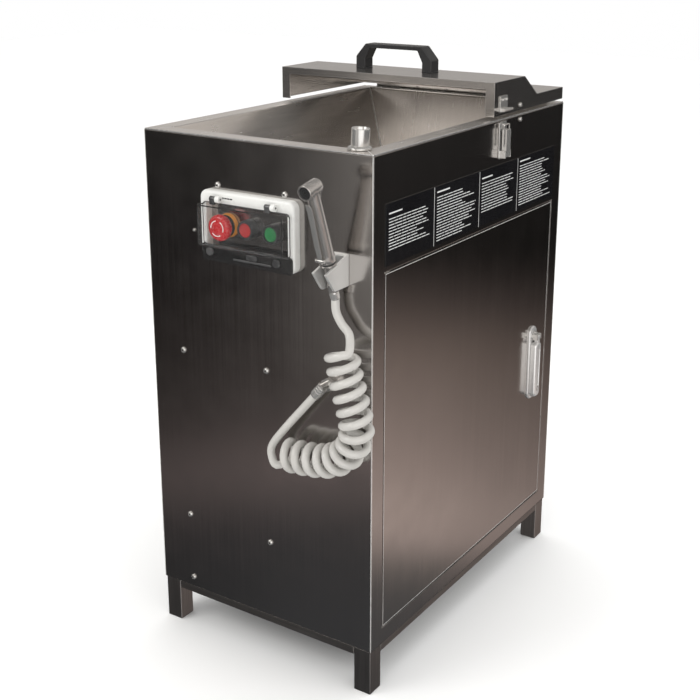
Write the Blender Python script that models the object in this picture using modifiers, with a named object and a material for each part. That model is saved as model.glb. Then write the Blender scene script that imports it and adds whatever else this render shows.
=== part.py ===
"""Food-waste grinder in a free-standing stainless cabinet.

A square-tube frame carries folded steel sheets, a hopper whose rim is the worktop, a hinged guard lid
over the hopper's outlet, and the grinding unit below it. The front carries the control box, a rinse
sprayer in its holder and the coiled hose. The right side has the service door, a label strip and the
lid's toggle latch.

Units are metres and +Z is up. The front faces -Y and the service door faces +X. Everything is placed in
the cabinet's own frame, centred on the cabinet and standing on z = 0, and one empty then centres the
whole object on the origin.
"""

import math

import bmesh
import bpy
from mathutils import Matrix, Vector

# Clearances
GAP = 0.0003
SLACK = 0.0005

# Cabinet
WIDTH = 0.414
DEPTH = 0.620
RIM_HEIGHT = 0.840
SHEET = 0.0012
TUBE = 0.030
TUBE_WALL = 0.002
TOP_TUBE = 0.025
RIM_BEND = 0.0015
RAIL_HEIGHT = 0.061
PANEL_BOTTOM = 0.075

# Hopper
RIM_WIDTH = 0.030
HOPPER_SHEET = 0.0015
OUTLET_SIDE = 0.165
OUTLET_HEIGHT = 0.590
OUTLET_FROM_BACK = 0.1655
COLLAR = 0.015
FLANGE = 0.020
SPOUT_FROM_RIGHT = 0.0395

# Lid
LID_LENGTH = 0.261
LID_INSET = 0.006
LID_LIFT = 0.006
LID_HEIGHT = 0.060
LID_LOW_HEIGHT = 0.026
LID_CROWN = 0.107
LID_SLOPE = 0.049
LID_SHEET = 0.0015
LID_LIP = 0.0115
LID_JAMB = 0.016
LID_HINGE_RADIUS = 0.0035
LID_HINGE_SEGMENTS = 7
HANDLE_LENGTH = 0.150
HANDLE_WIDTH = 0.0255
HANDLE_HEIGHT = 0.042
HANDLE_FOOT = 0.019
HANDLE_BAR = 0.007
HANDLE_OFFSET = -0.015

# Door
DOOR_GAP = 0.002
DOOR_FOLD = 0.018
DOOR_BOTTOM = 0.104
DOOR_TOP = 0.667
DOOR_PIVOT_INSET = 0.0026
DOOR_PIN_RADIUS = 0.0011
DOOR_HANDLE_FROM_REAR = 0.0565
DOOR_HANDLE_WIDTH = 0.028
DOOR_HANDLE_LENGTH = 0.138
DOOR_HANDLE_BOTTOM = 0.312
DOOR_HANDLE_PLATE = 0.004
LEVER_WIDTH = 0.022
LEVER_THICKNESS = 0.0115
SPINDLE_RADIUS = 0.007

# Label strip
LABEL_BOTTOM = 0.677
LABEL_HEIGHT = 0.090
LABEL_THICKNESS = 0.0008

# Control box, seen from the front
CONTROL_FROM_RIGHT = 0.123
CONTROL_WIDTH = 0.173
CONTROL_BOTTOM = 0.655
CONTROL_HEIGHT = 0.107
CONTROL_THICKNESS = 0.014
CONTROL_BORDER = 0.012
COVER_DEPTH = 0.034
COVER_WALL = 0.002
BUTTON_HEIGHT = 0.710
ESTOP_OFFSET = 0.0438
STOP_OFFSET = 0.0849
START_OFFSET = 0.1312
BUTTON_HOLE = 0.0113
BUTTON_TRAVEL = 0.003
ESTOP_TRAVEL = 0.005
ESTOP_RADIUS = 0.020
BEZEL_RADIUS = 0.0145

# Sprayer and hose
SPRAYER_FROM_RIGHT = 0.0515
SPRAYER_LEAN = math.radians(18)
SEAT_HEIGHT = 0.687
SEAT_OUT = 0.033
SPRAYER_LENGTH = 0.120
NUT_LENGTH = 0.042
HOLDER_WIDTH = 0.025
HOLDER_WALL = 0.004
HOSE_RADIUS = 0.0062
COIL_RADIUS = 0.02625
HOSE_OUT = 0.028
ELBOW_SLEEVE = 0.018  # the sleeve that grips the hose's end
ELBOW_SLEEVE_RADIUS = 0.0078
ELBOW_NUT_RADIUS = 0.011
ELBOW_NECK_RADIUS = 0.0070
STRAIGHT_END = 0.012  # the hose runs straight this far out of each fitting
ELBOW_FROM_RIGHT = 0.073
ELBOW_HEIGHT = 0.497

# Grinding unit
CHAMBER_RADIUS = 0.0875
CHAMBER_BORE = 0.075
CHAMBER_HEIGHT = 0.120
CHAMBER_FLOOR = 0.008
GASKET = 0.004
CHAMBER_FLANGE = 0.006
DRAIN_STUB = 0.014  # the chamber's outlet stands out this far
DRAIN_STUB_WALL = 0.004
RING_HEIGHT = 0.030
RING_THICKNESS = 0.0045
PLATE_THICKNESS = 0.005
HUB_RADIUS = 0.014
HUB_HEIGHT = 0.012
LUG_PIN_RADIUS = 0.004
LUG_PIN_TOP = 0.0165
LUG_HALF_WIDTH = 0.010
SHAFT_REACH = 0.045  # the turntable's shaft goes down this far below the chamber
MOTOR_RADIUS = 0.085
MOTOR_HEIGHT = 0.230
BELL_HEIGHT = 0.014  # the motor's end bells
BRIDGE_PLATE = 0.004
BRIDGE_HALF = 0.090
SHAFT_RADIUS = 0.009
LUG_FROM_CENTRE = 0.045
DRAIN_RADIUS = 0.020
DRAIN_BORE = 0.0165
PIPE_RADIUS = 0.0075
VALVE_LENGTH = 0.045
BOX_WIDTH = 0.144
BOX_DEPTH = 0.110
BOX_HEIGHT = 0.268
BOX_BOTTOM = 0.216
BACK_REACH = 0.032

# Derived places
LEFT, RIGHT = -WIDTH / 2, WIDTH / 2
FRONT, BACK = -DEPTH / 2, DEPTH / 2
SKIN = SHEET + GAP
TOP_RAIL_TOP = RIM_HEIGHT - HOPPER_SHEET - RIM_BEND
POST_TOP = TOP_RAIL_TOP - TOP_TUBE - GAP
PANEL_TOP = RIM_HEIGHT - HOPPER_SHEET - GAP
OUTLET_Y = BACK - OUTLET_FROM_BACK
LID_BACK = BACK - LID_INSET
LID_FRONT = LID_BACK - LID_LENGTH
LID_BOTTOM = RIM_HEIGHT + LID_LIFT
LID_TOP = RIM_HEIGHT + LID_HEIGHT
LID_AXIS = (BACK - LID_INSET + GAP + LID_HINGE_RADIUS, RIM_HEIGHT + 0.0042)
DOOR_FRONT = FRONT + SKIN + TUBE + 0.0015
DOOR_REAR = BACK - SKIN - TUBE - 0.0010
DOOR_AXIS = (RIGHT - DOOR_PIVOT_INSET, DOOR_FRONT + DOOR_PIVOT_INSET)
HANDLE_Y = DOOR_REAR - DOOR_HANDLE_FROM_REAR
SPINDLE_Z = DOOR_HANDLE_BOTTOM + DOOR_HANDLE_LENGTH - 0.018
CONTROL_LEFT = RIGHT - CONTROL_FROM_RIGHT - CONTROL_WIDTH
CONTROL_FACE = FRONT - CONTROL_THICKNESS
COVER_AXIS = (FRONT - 0.019, CONTROL_BOTTOM + CONTROL_HEIGHT - 0.0105)
BUTTON_X = {
    "estop": CONTROL_LEFT + ESTOP_OFFSET,
    "stop": CONTROL_LEFT + STOP_OFFSET,
    "start": CONTROL_LEFT + START_OFFSET,
}
ESTOP_COLLAR = 0.008
ESTOP_UNDERSIDE = ESTOP_COLLAR + ESTOP_TRAVEL + 0.001
ESTOP_FACE = ESTOP_UNDERSIDE + 0.015
BEZEL_FACE = 0.016
SPRAYER_SEAT = Vector((RIGHT - SPRAYER_FROM_RIGHT, FRONT - SEAT_OUT, SEAT_HEIGHT))
SPRAYER_AXIS = Vector((0, -math.sin(SPRAYER_LEAN), math.cos(SPRAYER_LEAN)))
ELBOW = Vector((RIGHT - ELBOW_FROM_RIGHT, FRONT - 0.020, ELBOW_HEIGHT))
ELBOW_DIRECTION = Vector((-0.65, 0, -0.76)).normalized()
LATCH_Y = LID_FRONT + 0.0305
LATCH_TOP = RIM_HEIGHT - 0.004
LATCH_AXIS = (RIGHT + 0.008, LATCH_TOP - 0.052)
BAIL_AXIS = (RIGHT + 0.008, LATCH_TOP - 0.038)
FLANGE_BOTTOM = OUTLET_HEIGHT - COLLAR
CHAMBER_TOP = FLANGE_BOTTOM - GAP - GASKET - GAP
CHAMBER_BOTTOM = CHAMBER_TOP - CHAMBER_HEIGHT
ROTOR_Z = CHAMBER_BOTTOM + 0.050
LUG_TIP = CHAMBER_BORE - RING_THICKNESS - LUG_FROM_CENTRE - 0.0045
MOTOR_TOP = CHAMBER_BOTTOM - GAP
MOTOR_BOTTOM = MOTOR_TOP - MOTOR_HEIGHT
DRAIN_Z = CHAMBER_BOTTOM + 0.029
PIPE_X = RIGHT - 0.062
PIPE_Z = 0.470
GLAND_X = LEFT + 0.080
GLAND_Z = 0.150

# How far the outermost pieces reach past the cabinet, which sets the object's centre
FRONT_REACH = 0.0906
RIGHT_REACH = 0.0162


# ------------------------------------------------------------------ collections, looks and building blocks


def start():
    """Empty the scene and return the collections for the parts and for the cutters, and the root."""
    for old in list(bpy.data.objects):
        bpy.data.objects.remove(old)
    collections = []
    for name in ("food_waste_grinder", "cutters"):
        collections.append(bpy.data.collections.new(name))
        bpy.context.scene.collection.children.link(collections[-1])
    root = bpy.data.objects.new("cabinet_centre", None)
    root.location = (-RIGHT_REACH / 2, (FRONT_REACH - BACK_REACH) / 2, 0)
    collections[0].objects.link(root)
    return collections[0], collections[1], root


PARTS, CUTTERS, ROOT = start()

LOOKS = {
    "brushed_steel": ((0.42, 0.41, 0.40), 1.0, 0.32),
    "bright_steel": ((0.60, 0.59, 0.57), 1.0, 0.22),
    "cast_alloy": ((0.50, 0.50, 0.50), 0.9, 0.45),
    "painted_motor": ((0.06, 0.07, 0.08), 0.2, 0.45),
    "black_plastic": ((0.02, 0.02, 0.02), 0.0, 0.40),
    "white_plastic": ((0.80, 0.80, 0.77), 0.0, 0.35),
    "clear_plastic": ((0.75, 0.78, 0.80), 0.0, 0.10),
    "red_plastic": ((0.60, 0.01, 0.02), 0.0, 0.30),
    "green_plastic": ((0.01, 0.30, 0.07), 0.0, 0.30),
    "orange_plastic": ((0.85, 0.35, 0.02), 0.0, 0.35),
    "black_label": ((0.012, 0.012, 0.013), 0.0, 0.35),
    "rubber": ((0.02, 0.02, 0.02), 0.0, 0.70),
    "brass": ((0.60, 0.45, 0.18), 1.0, 0.30),
    "hose_cream": ((0.72, 0.68, 0.62), 0.0, 0.35),
}


def look(node, kind):
    """Return the node's own Principled material of one kind."""
    colour, metallic, roughness = LOOKS[kind]
    made = bpy.data.materials.new(f"{node}_{kind}")
    made.use_nodes = True
    shader = made.node_tree.nodes["Principled BSDF"]
    shader.inputs["Base Color"].default_value = (*colour, 1)
    shader.inputs["Metallic"].default_value = metallic
    shader.inputs["Roughness"].default_value = roughness
    made.diffuse_color = (*colour, 1)
    return made


def block(low, high, round_edges=None, radius=0.0, segments=3):
    """Return a box between two corners, its edges along one axis rounded."""
    low, high = Vector(low), Vector(high)
    bm = bmesh.new()
    bmesh.ops.create_cube(bm, size=1.0)
    bmesh.ops.scale(bm, vec=high - low, verts=bm.verts)
    bmesh.ops.translate(bm, vec=(low + high) / 2, verts=bm.verts)
    if round_edges:
        axis = "XYZ".index(round_edges)
        edges = [e for e in bm.edges if abs((e.verts[0].co - e.verts[1].co)[axis]) > 1e-6]
        bmesh.ops.bevel(bm, geom=edges, offset=radius, segments=segments, profile=0.5, affect="EDGES")
    return bm


def rod(start, end, radius, sides=24, end_radius=None):
    """Return a capped cylinder or cone between two points."""
    start, end = Vector(start), Vector(end)
    bm = bmesh.new()
    bmesh.ops.create_cone(
        bm,
        cap_ends=True,
        segments=sides,
        radius1=radius,
        radius2=radius if end_radius is None else end_radius,
        depth=(end - start).length,
    )
    turn = (end - start).to_track_quat("Z", "Y").to_matrix().to_4x4()
    bmesh.ops.transform(bm, matrix=Matrix.Translation((start + end) / 2) @ turn, verts=bm.verts)
    return bm


def prism(outline, axis, low, high):
    """Return a flat outline extruded along one axis. Its points are in the other two axes, in order."""
    place = {
        "X": lambda a, b, t: (t, a, b),
        "Y": lambda a, b, t: (a, t, b),
        "Z": lambda a, b, t: (a, b, t),
    }[axis]
    bm = bmesh.new()
    face = bm.faces.new([bm.verts.new(place(a, b, low)) for a, b in outline])
    made = bmesh.ops.extrude_face_region(bm, geom=[face])
    moved = [v for v in made["geom"] if isinstance(v, bmesh.types.BMVert)]
    bmesh.ops.translate(bm, vec=place(0, 0, high - low), verts=moved)
    bmesh.ops.recalc_face_normals(bm, faces=bm.faces)
    return bm


def profile(points):
    """Return the half outline of a turned shape, listed from the top of its axis down its outer side."""
    bm = bmesh.new()
    verts = [bm.verts.new((r, 0, z)) for r, z in points]
    for a, b in zip(verts, verts[1:]):
        bm.edges.new((a, b))
    return bm


def strips(loops):
    """Return an open surface through rectangles (x low, x high, y low, y high, z), each joined to the next."""
    bm = bmesh.new()
    rings = []
    for x0, x1, y0, y1, z in loops:
        rings.append([bm.verts.new(p) for p in ((x0, y0, z), (x1, y0, z), (x1, y1, z), (x0, y1, z))])
    for outer, inner in zip(rings, rings[1:]):
        for i in range(4):
            j = (i + 1) % 4
            bm.faces.new((outer[i], outer[j], inner[j], inner[i]))
    return bm


def put(name, bm, collection, parent, pivot):
    """Make an object from a bmesh, with its origin at the pivot."""
    mesh = bpy.data.meshes.new(name)
    bmesh.ops.translate(bm, vec=-Vector(pivot), verts=bm.verts)
    bm.to_mesh(mesh)
    bm.free()
    made = bpy.data.objects.new(name, mesh)
    made.location = pivot
    made.parent = parent
    collection.objects.link(made)
    return made


def make(name, kind, bm, join=(), cut=(), parent=None, pivot=(0, 0, 0), shell=0.0, turned=0, smooth=True):
    """Make a part: turn or thicken its base shape, then join and cut the other shapes."""
    parent = parent or ROOT
    part = put(name, bm, PARTS, parent, pivot)
    if turned:
        screw = part.modifiers.new("turn", "SCREW")
        screw.steps = screw.render_steps = turned
        screw.use_merge_vertices = True
        screw.merge_threshold = 0.00001
    if shell:
        sheet = part.modifiers.new("sheet", "SOLIDIFY")
        sheet.thickness = shell
        sheet.offset = -1
        sheet.use_even_offset = True
    for operation, shapes in (("UNION", join), ("DIFFERENCE", cut)):
        for i, other in enumerate(shapes):
            tool = put(f"{name}_{operation.lower()}_{i}", other, CUTTERS, parent, pivot)
            tool.hide_render = True
            tool.display_type = "WIRE"
            step = part.modifiers.new(f"{operation.lower()}_{i}", "BOOLEAN")
            step.operation = operation
            step.solver = "EXACT"
            step.object = tool
    part.data.materials.append(look(name, kind))
    if smooth:
        part.data.shade_smooth()
        part.data.set_sharp_from_angle(angle=math.radians(35))
    return part


def smooth_route(points, spacing):
    """Return evenly spaced points on the smooth curve through the given ones (Catmull-Rom)."""
    points = [Vector(p) for p in points]
    ends = [2 * points[0] - points[1], *points, 2 * points[-1] - points[-2]]
    fine = []
    for a, b, c, d in zip(ends, ends[1:], ends[2:], ends[3:]):
        for i in range(24):
            t = i / 24
            fine.append(
                0.5 * (2 * b + (c - a) * t + (2 * a - 5 * b + 4 * c - d) * t**2 + (3 * b - a - 3 * c + d) * t**3)
            )
    fine.append(points[-1])
    total = sum((b - a).length for a, b in zip(fine, fine[1:]))
    count = max(2, round(total / spacing))
    route, walked, wanted = [fine[0]], 0.0, 1
    for a, b in zip(fine, fine[1:]):
        step = (b - a).length
        while wanted < count and walked + step >= wanted * total / count:
            route.append(a.lerp(b, (wanted * total / count - walked) / step))
            wanted += 1
        walked += step
    return [*route, points[-1]]


def tube(name, kind, route, radius, roundness=2):
    """Make a solid round tube along a route, with filled ends."""
    curve = bpy.data.curves.new(name, "CURVE")
    curve.dimensions = "3D"
    curve.bevel_depth = radius
    curve.bevel_resolution = roundness
    curve.use_fill_caps = True
    spline = curve.splines.new("POLY")
    spline.points.add(len(route) - 1)
    for point, place in zip(spline.points, route):
        point.co = (*place, 1)
    made = bpy.data.objects.new(name, curve)
    made.parent = ROOT
    curve.materials.append(look(name, kind))
    PARTS.objects.link(made)
    return made


def rounded_loop(corners, bend):
    """Return a closed outline's points, each corner replaced by three points on its bend."""
    places = [Vector(c) for c in corners]
    outline = []
    for before, corner, after in zip([places[-1], *places], places, [*places[1:], places[0]]):
        start = corner + (before - corner).normalized() * bend
        end = corner + (after - corner).normalized() * bend
        outline += [start, (start + end + 2 * corner) / 4, end]
    return outline


def wire_loop(name, kind, outline, radius, pivot):
    """Make a closed loop of round wire in the plane across X, with its origin at the pivot."""
    curve = bpy.data.curves.new(name, "CURVE")
    curve.dimensions = "3D"
    curve.bevel_depth = radius
    curve.bevel_resolution = 1
    spline = curve.splines.new("POLY")
    spline.points.add(len(outline) - 1)
    for point, (y, z) in zip(spline.points, outline):
        point.co = (0, y, z, 1)
    spline.use_cyclic_u = True
    made = bpy.data.objects.new(name, curve)
    made.location = pivot
    made.parent = ROOT
    curve.materials.append(look(name, kind))
    PARTS.objects.link(made)
    return made


# ------------------------------------------------------------------ frame and sheets


def square_tube(name, low, high, along, open_ends=2):
    """Make a square tube between two corners. A leg is closed at its foot."""
    bm = block(low, high)
    axis = "XYZ".index(along)
    ends = sorted((f for f in bm.faces if abs(f.normal[axis]) > 0.9), key=lambda f: -f.calc_center_median()[axis])
    bmesh.ops.delete(bm, geom=ends[:open_ends], context="FACES_ONLY")
    return make(name, "brushed_steel", bm, shell=TUBE_WALL, smooth=False)


def frame():
    """Four posts that are also the legs, a ring of rails near the floor and a ring under the rim."""
    left, right, front, back = LEFT + SKIN, RIGHT - SKIN, FRONT + SKIN, BACK - SKIN
    for side, x in (("left", left), ("right", right - TUBE)):
        for end, y in (("front", front), ("rear", back - TUBE)):
            square_tube(f"post_{end}_{side}", (x, y, 0), (x + TUBE, y + TUBE, POST_TOP), "Z", open_ends=1)
    low, high = RAIL_HEIGHT, RAIL_HEIGHT + TUBE
    inner_left, inner_right = left + TUBE + GAP, right - TUBE - GAP
    inner_front, inner_back = front + TUBE + GAP, back - TUBE - GAP
    square_tube("rail_front", (inner_left, front, low), (inner_right, front + TUBE, high), "X")
    square_tube("rail_rear", (inner_left, back - TUBE, low), (inner_right, back, high), "X")
    square_tube("rail_left", (left, inner_front, low), (left + TUBE, inner_back, high), "Y")
    square_tube("rail_right", (right - TUBE, inner_front, low), (right, inner_back, high), "Y")
    low, high = TOP_RAIL_TOP - TOP_TUBE, TOP_RAIL_TOP
    square_tube("top_rail_left", (left, front, low), (left + TOP_TUBE, back, high), "Y")
    square_tube("top_rail_right", (right - TOP_TUBE, front, low), (right, back, high), "Y")


def sheets():
    """The front, left and back sheets are plain, and the right one is cut out for the service door."""
    holes = [
        rod((x, FRONT - 0.01, BUTTON_HEIGHT), (x, FRONT + 0.01, BUTTON_HEIGHT), BUTTON_HOLE)
        for x in BUTTON_X.values()
    ]
    holes.append(
        rod((ELBOW.x, FRONT - 0.01, ELBOW.z), (ELBOW.x, FRONT + 0.01, ELBOW.z), 0.0065)
    )
    make(
        "front_panel", "brushed_steel",
        block((LEFT, FRONT, PANEL_BOTTOM), (RIGHT, FRONT + SHEET, PANEL_TOP)), cut=holes, smooth=False,
    )
    passages = [
        rod((x, BACK - 0.01, z), (x, BACK + 0.01, z), radius + SLACK)
        for x, z, radius in ((0, DRAIN_Z, DRAIN_RADIUS), (PIPE_X, PIPE_Z, 0.0105), (GLAND_X, GLAND_Z, 0.0080))
    ]
    make(
        "back_panel", "brushed_steel",
        block((LEFT, BACK - SHEET, PANEL_BOTTOM), (RIGHT, BACK, PANEL_TOP)), cut=passages, smooth=False,
    )
    make(
        "left_panel", "brushed_steel",
        block((LEFT, FRONT + SKIN, PANEL_BOTTOM), (LEFT + SHEET, BACK - SKIN, PANEL_TOP)), smooth=False,
    )
    cut_out = block(
        (RIGHT - 0.01, DOOR_FRONT - DOOR_GAP, DOOR_BOTTOM - DOOR_GAP),
        (RIGHT + 0.01, DOOR_REAR + DOOR_GAP, DOOR_TOP + DOOR_GAP),
    )
    make(
        "right_panel", "brushed_steel",
        block((RIGHT - SHEET, FRONT + SKIN, PANEL_BOTTOM), (RIGHT, BACK - SKIN, PANEL_TOP)),
        cut=[cut_out], smooth=False,
    )
    make(
        "label_strip", "black_label",
        block(
            (RIGHT + GAP, FRONT + SKIN + TUBE, LABEL_BOTTOM),
            (RIGHT + GAP + LABEL_THICKNESS, BACK - SKIN - TUBE, LABEL_BOTTOM + LABEL_HEIGHT),
        ),
        smooth=False,
    )


# ------------------------------------------------------------------ hopper and lid


def hopper():
    """One folded shell: a flat rim, four walls that slope to the outlet, a collar and its flange."""
    half = OUTLET_SIDE / 2
    outlet = (-half, half, OUTLET_Y - half, OUTLET_Y + half)
    flange = (-half - FLANGE, half + FLANGE, OUTLET_Y - half - FLANGE, OUTLET_Y + half + FLANGE)
    loops = [
        (LEFT, RIGHT, FRONT, BACK, RIM_HEIGHT),
        (LEFT + RIM_WIDTH, RIGHT - RIM_WIDTH, FRONT + RIM_WIDTH, BACK - RIM_WIDTH, RIM_HEIGHT),
        (*outlet, OUTLET_HEIGHT),
        (*outlet, OUTLET_HEIGHT - COLLAR),
        (*flange, OUTLET_HEIGHT - COLLAR),
    ]
    make("hopper", "brushed_steel", strips(loops), shell=HOPPER_SHEET, smooth=False)


def rim_spout():
    """A short water stub on a round flange at the rim's front right corner."""
    x, y, low = RIGHT - SPOUT_FROM_RIGHT, FRONT + 0.027, RIM_HEIGHT + GAP
    make(
        "rim_spout", "bright_steel",
        rod((x, y, low), (x, y, low + 0.004), 0.0175, 32),
        join=[rod((x, y, low + 0.002), (x + 0.002, y, low + 0.030), 0.013, 32)],
        cut=[rod((x, y, low - 0.004), (x + 0.002, y, low + 0.034), 0.011, 32)],
    )


def lid_outline():
    """The lid seen from the side, as (y, z): a raised front part, a slope and a low rear part."""
    low = RIM_HEIGHT + LID_LOW_HEIGHT
    return [
        (LID_FRONT, LID_BOTTOM),
        (LID_BACK, LID_BOTTOM),
        (LID_BACK, low),
        (LID_FRONT + LID_CROWN + LID_SLOPE, low),
        (LID_FRONT + LID_CROWN, LID_TOP),
        (LID_FRONT, LID_TOP),
    ]


def hinge_stations(first):
    """Every second station of the piano hinge, as the start of its knuckle along X."""
    length = WIDTH - 2 * RIM_WIDTH
    step = length / LID_HINGE_SEGMENTS
    return [-length / 2 + i * step for i in range(first, LID_HINGE_SEGMENTS, 2)], step


def knuckle(x, step):
    """One barrel of the piano hinge."""
    y, z = LID_AXIS
    return rod((x + SLACK / 2, y, z), (x + step - SLACK / 2, y, z), LID_HINGE_RADIUS, 16)


def lid():
    """The guard lid: a folded shell open below and in front, hinge barrels behind, and a bridge handle."""
    y, z = LID_AXIS
    pivot = (0, y, z)
    shell = prism(lid_outline(), "X", LEFT, RIGHT)
    bottom = [f for f in shell.faces if f.normal.z < -0.9]
    bmesh.ops.delete(shell, geom=bottom, context="FACES_ONLY")
    mouth = block(
        (LEFT + LID_JAMB, LID_FRONT - 0.01, LID_BOTTOM - 0.01),
        (RIGHT - LID_JAMB, LID_FRONT + 0.01, LID_TOP - LID_LIP),
    )
    stations, step = hinge_stations(1)
    wings = [
        block((x + SLACK, LID_BACK - LID_SHEET / 2, z), (x + step - SLACK, y - 0.0020, z + 0.015))
        for x in stations
    ]
    barrels = [knuckle(x, step) for x in stations]
    bore = rod((LEFT - 0.01, y, z), (RIGHT + 0.01, y, z), 0.0018, 12)
    make(
        "lid_cover", "brushed_steel", shell, shell=LID_SHEET,
        join=[*wings, *barrels], cut=[mouth, bore], pivot=pivot, smooth=False,
    )

    half, foot = HANDLE_LENGTH / 2, HANDLE_FOOT
    top, knee = HANDLE_HEIGHT, 0.020
    outline = [
        (-half, 0), (-half, knee), (-half + foot, top), (half - foot, top), (half, knee), (half, 0),
        (half - foot, 0), (half - foot, knee - 0.004), (half - foot - 0.0095, top - HANDLE_BAR),
        (-half + foot + 0.0095, top - HANDLE_BAR), (-half + foot, knee - 0.004), (-half + foot, 0),
    ]
    base = LID_TOP + GAP
    outline = [(x + HANDLE_OFFSET, z + base) for x, z in outline]
    near = LID_FRONT + 0.056
    make("lid_handle", "black_plastic", prism(outline, "Y", near, near + HANDLE_WIDTH), pivot=pivot, smooth=False)


def lid_hinge():
    """The piano hinge's fixed half: a leaf lying on the rim, its barrels and the pin through all of them."""
    y, z = LID_AXIS
    stations, step = hinge_stations(0)
    low, high = stations[0] + SLACK / 2, stations[-1] + step - SLACK / 2
    leaf = block((low, LID_BACK - 0.024, RIM_HEIGHT + GAP), (high, LID_BACK - 0.001, RIM_HEIGHT + GAP + 0.0015))
    tabs = [
        block((x + SLACK / 2, LID_BACK - 0.002, RIM_HEIGHT + GAP), (x + step - SLACK / 2, y, RIM_HEIGHT + GAP + 0.0015))
        for x in stations
    ]
    barrels = [knuckle(x, step) for x in stations]
    pin = rod((low + SLACK, y, z), (high - SLACK, y, z), 0.0015, 12)
    make("lid_hinge", "bright_steel", leaf, join=[*tabs, *barrels, pin], smooth=False)


# ------------------------------------------------------------------ toggle latch


def latch():
    """A toggle latch, open: base with its pin, hooked lever and wire bail, and the keeper on the lid."""
    half, face = 0.0125, RIGHT + GAP
    x, z = LATCH_AXIS
    ears = [
        block((face, LATCH_Y + a, z - 0.006), (RIGHT + 0.012, LATCH_Y + a + 0.0015, z + 0.006))
        for a in (-0.0100, 0.0085)
    ]
    pin = rod((x, LATCH_Y - 0.0095, z), (x, LATCH_Y + 0.0095, z), 0.0015, 12)
    base = block(
        (face, LATCH_Y - half, LATCH_TOP - 0.060), (face + 0.0015, LATCH_Y + half, LATCH_TOP), "X", 0.003
    )
    make("latch_base", "bright_steel", base, join=[*ears, pin])

    lever = block((RIGHT + 0.004, LATCH_Y - 0.0075, z - 0.004), (RIGHT + 0.012, LATCH_Y + 0.0075, z + 0.040))
    channel = block((RIGHT + 0.003, LATCH_Y - 0.005, z - 0.010), (RIGHT + 0.0095, LATCH_Y + 0.005, z + 0.036))
    bores = [
        rod((x, LATCH_Y - 0.010, z), (x, LATCH_Y + 0.010, z), 0.0018, 12),
        rod((BAIL_AXIS[0], LATCH_Y - 0.010, BAIL_AXIS[1]), (BAIL_AXIS[0], LATCH_Y + 0.010, BAIL_AXIS[1]), 0.0014, 12),
    ]
    make("latch_lever", "bright_steel", lever, cut=[channel, *bores], pivot=(x, LATCH_Y, z), smooth=False)

    bail_x, bail_z = BAIL_AXIS
    reach, side, bend = 0.034, 0.0092, 0.0025
    corners = [(-side, 0), (side, 0), (side, reach), (-side, reach)]
    wire_loop("latch_bail", "bright_steel", rounded_loop(corners, bend), 0.0011, (bail_x, LATCH_Y, bail_z))

    plate_low = RIM_HEIGHT + 0.011
    keeper = block((face, LATCH_Y - 0.013, plate_low), (face + 0.0015, LATCH_Y + 0.012, plate_low + 0.026), "X", 0.002)
    bar_z = plate_low + 0.004
    arms = [
        block((face, LATCH_Y + a, bar_z - 0.0025), (RIGHT + 0.008, LATCH_Y + a + 0.002, bar_z + 0.0025))
        for a in (-0.0105, 0.0080)
    ]
    bar = rod((RIGHT + 0.0075, LATCH_Y - 0.0115, bar_z), (RIGHT + 0.0075, LATCH_Y + 0.0180, bar_z), 0.0022, 12)
    make("latch_keeper", "bright_steel", keeper, join=[*arms, bar], pivot=(0, *LID_AXIS), smooth=False)


# ------------------------------------------------------------------ service door


def door():
    """A folded tray that swings on two hidden corner pins."""
    x, y = DOOR_AXIS
    pivot = (x, y, 0)
    tray = block((RIGHT - DOOR_FOLD, DOOR_FRONT, DOOR_BOTTOM), (RIGHT, DOOR_REAR, DOOR_TOP))
    inner = [f for f in tray.faces if f.normal.x < -0.9]
    bmesh.ops.delete(tray, geom=inner, context="FACES_ONLY")
    holes = [
        rod((x, y, DOOR_BOTTOM - 0.01), (x, y, DOOR_BOTTOM + 0.01), DOOR_PIN_RADIUS + 0.00025, 16),
        rod((x, y, DOOR_TOP - 0.01), (x, y, DOOR_TOP + 0.01), DOOR_PIN_RADIUS + 0.00025, 16),
        rod((RIGHT - 0.01, HANDLE_Y, SPINDLE_Z), (RIGHT + 0.01, HANDLE_Y, SPINDLE_Z), SPINDLE_RADIUS + SLACK),
    ]
    make("door_panel", "brushed_steel", tray, shell=SHEET, cut=holes, pivot=pivot, smooth=False)
    plate = 0.003
    for name, end, sign in (("door_pivot_lower", DOOR_BOTTOM, 1), ("door_pivot_upper", DOOR_TOP, -1)):
        low, high = sorted((end - sign * GAP, end - sign * (GAP + plate)))
        bracket = block((RIGHT - 0.024, FRONT + SKIN + TUBE + GAP, low), (RIGHT - SKIN, y + 0.012, high))
        pin = rod((x, y, end - sign * 0.0015), (x, y, end + sign * 0.005), DOOR_PIN_RADIUS, 16)
        make(name, "bright_steel", bracket, join=[pin], smooth=False)


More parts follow.
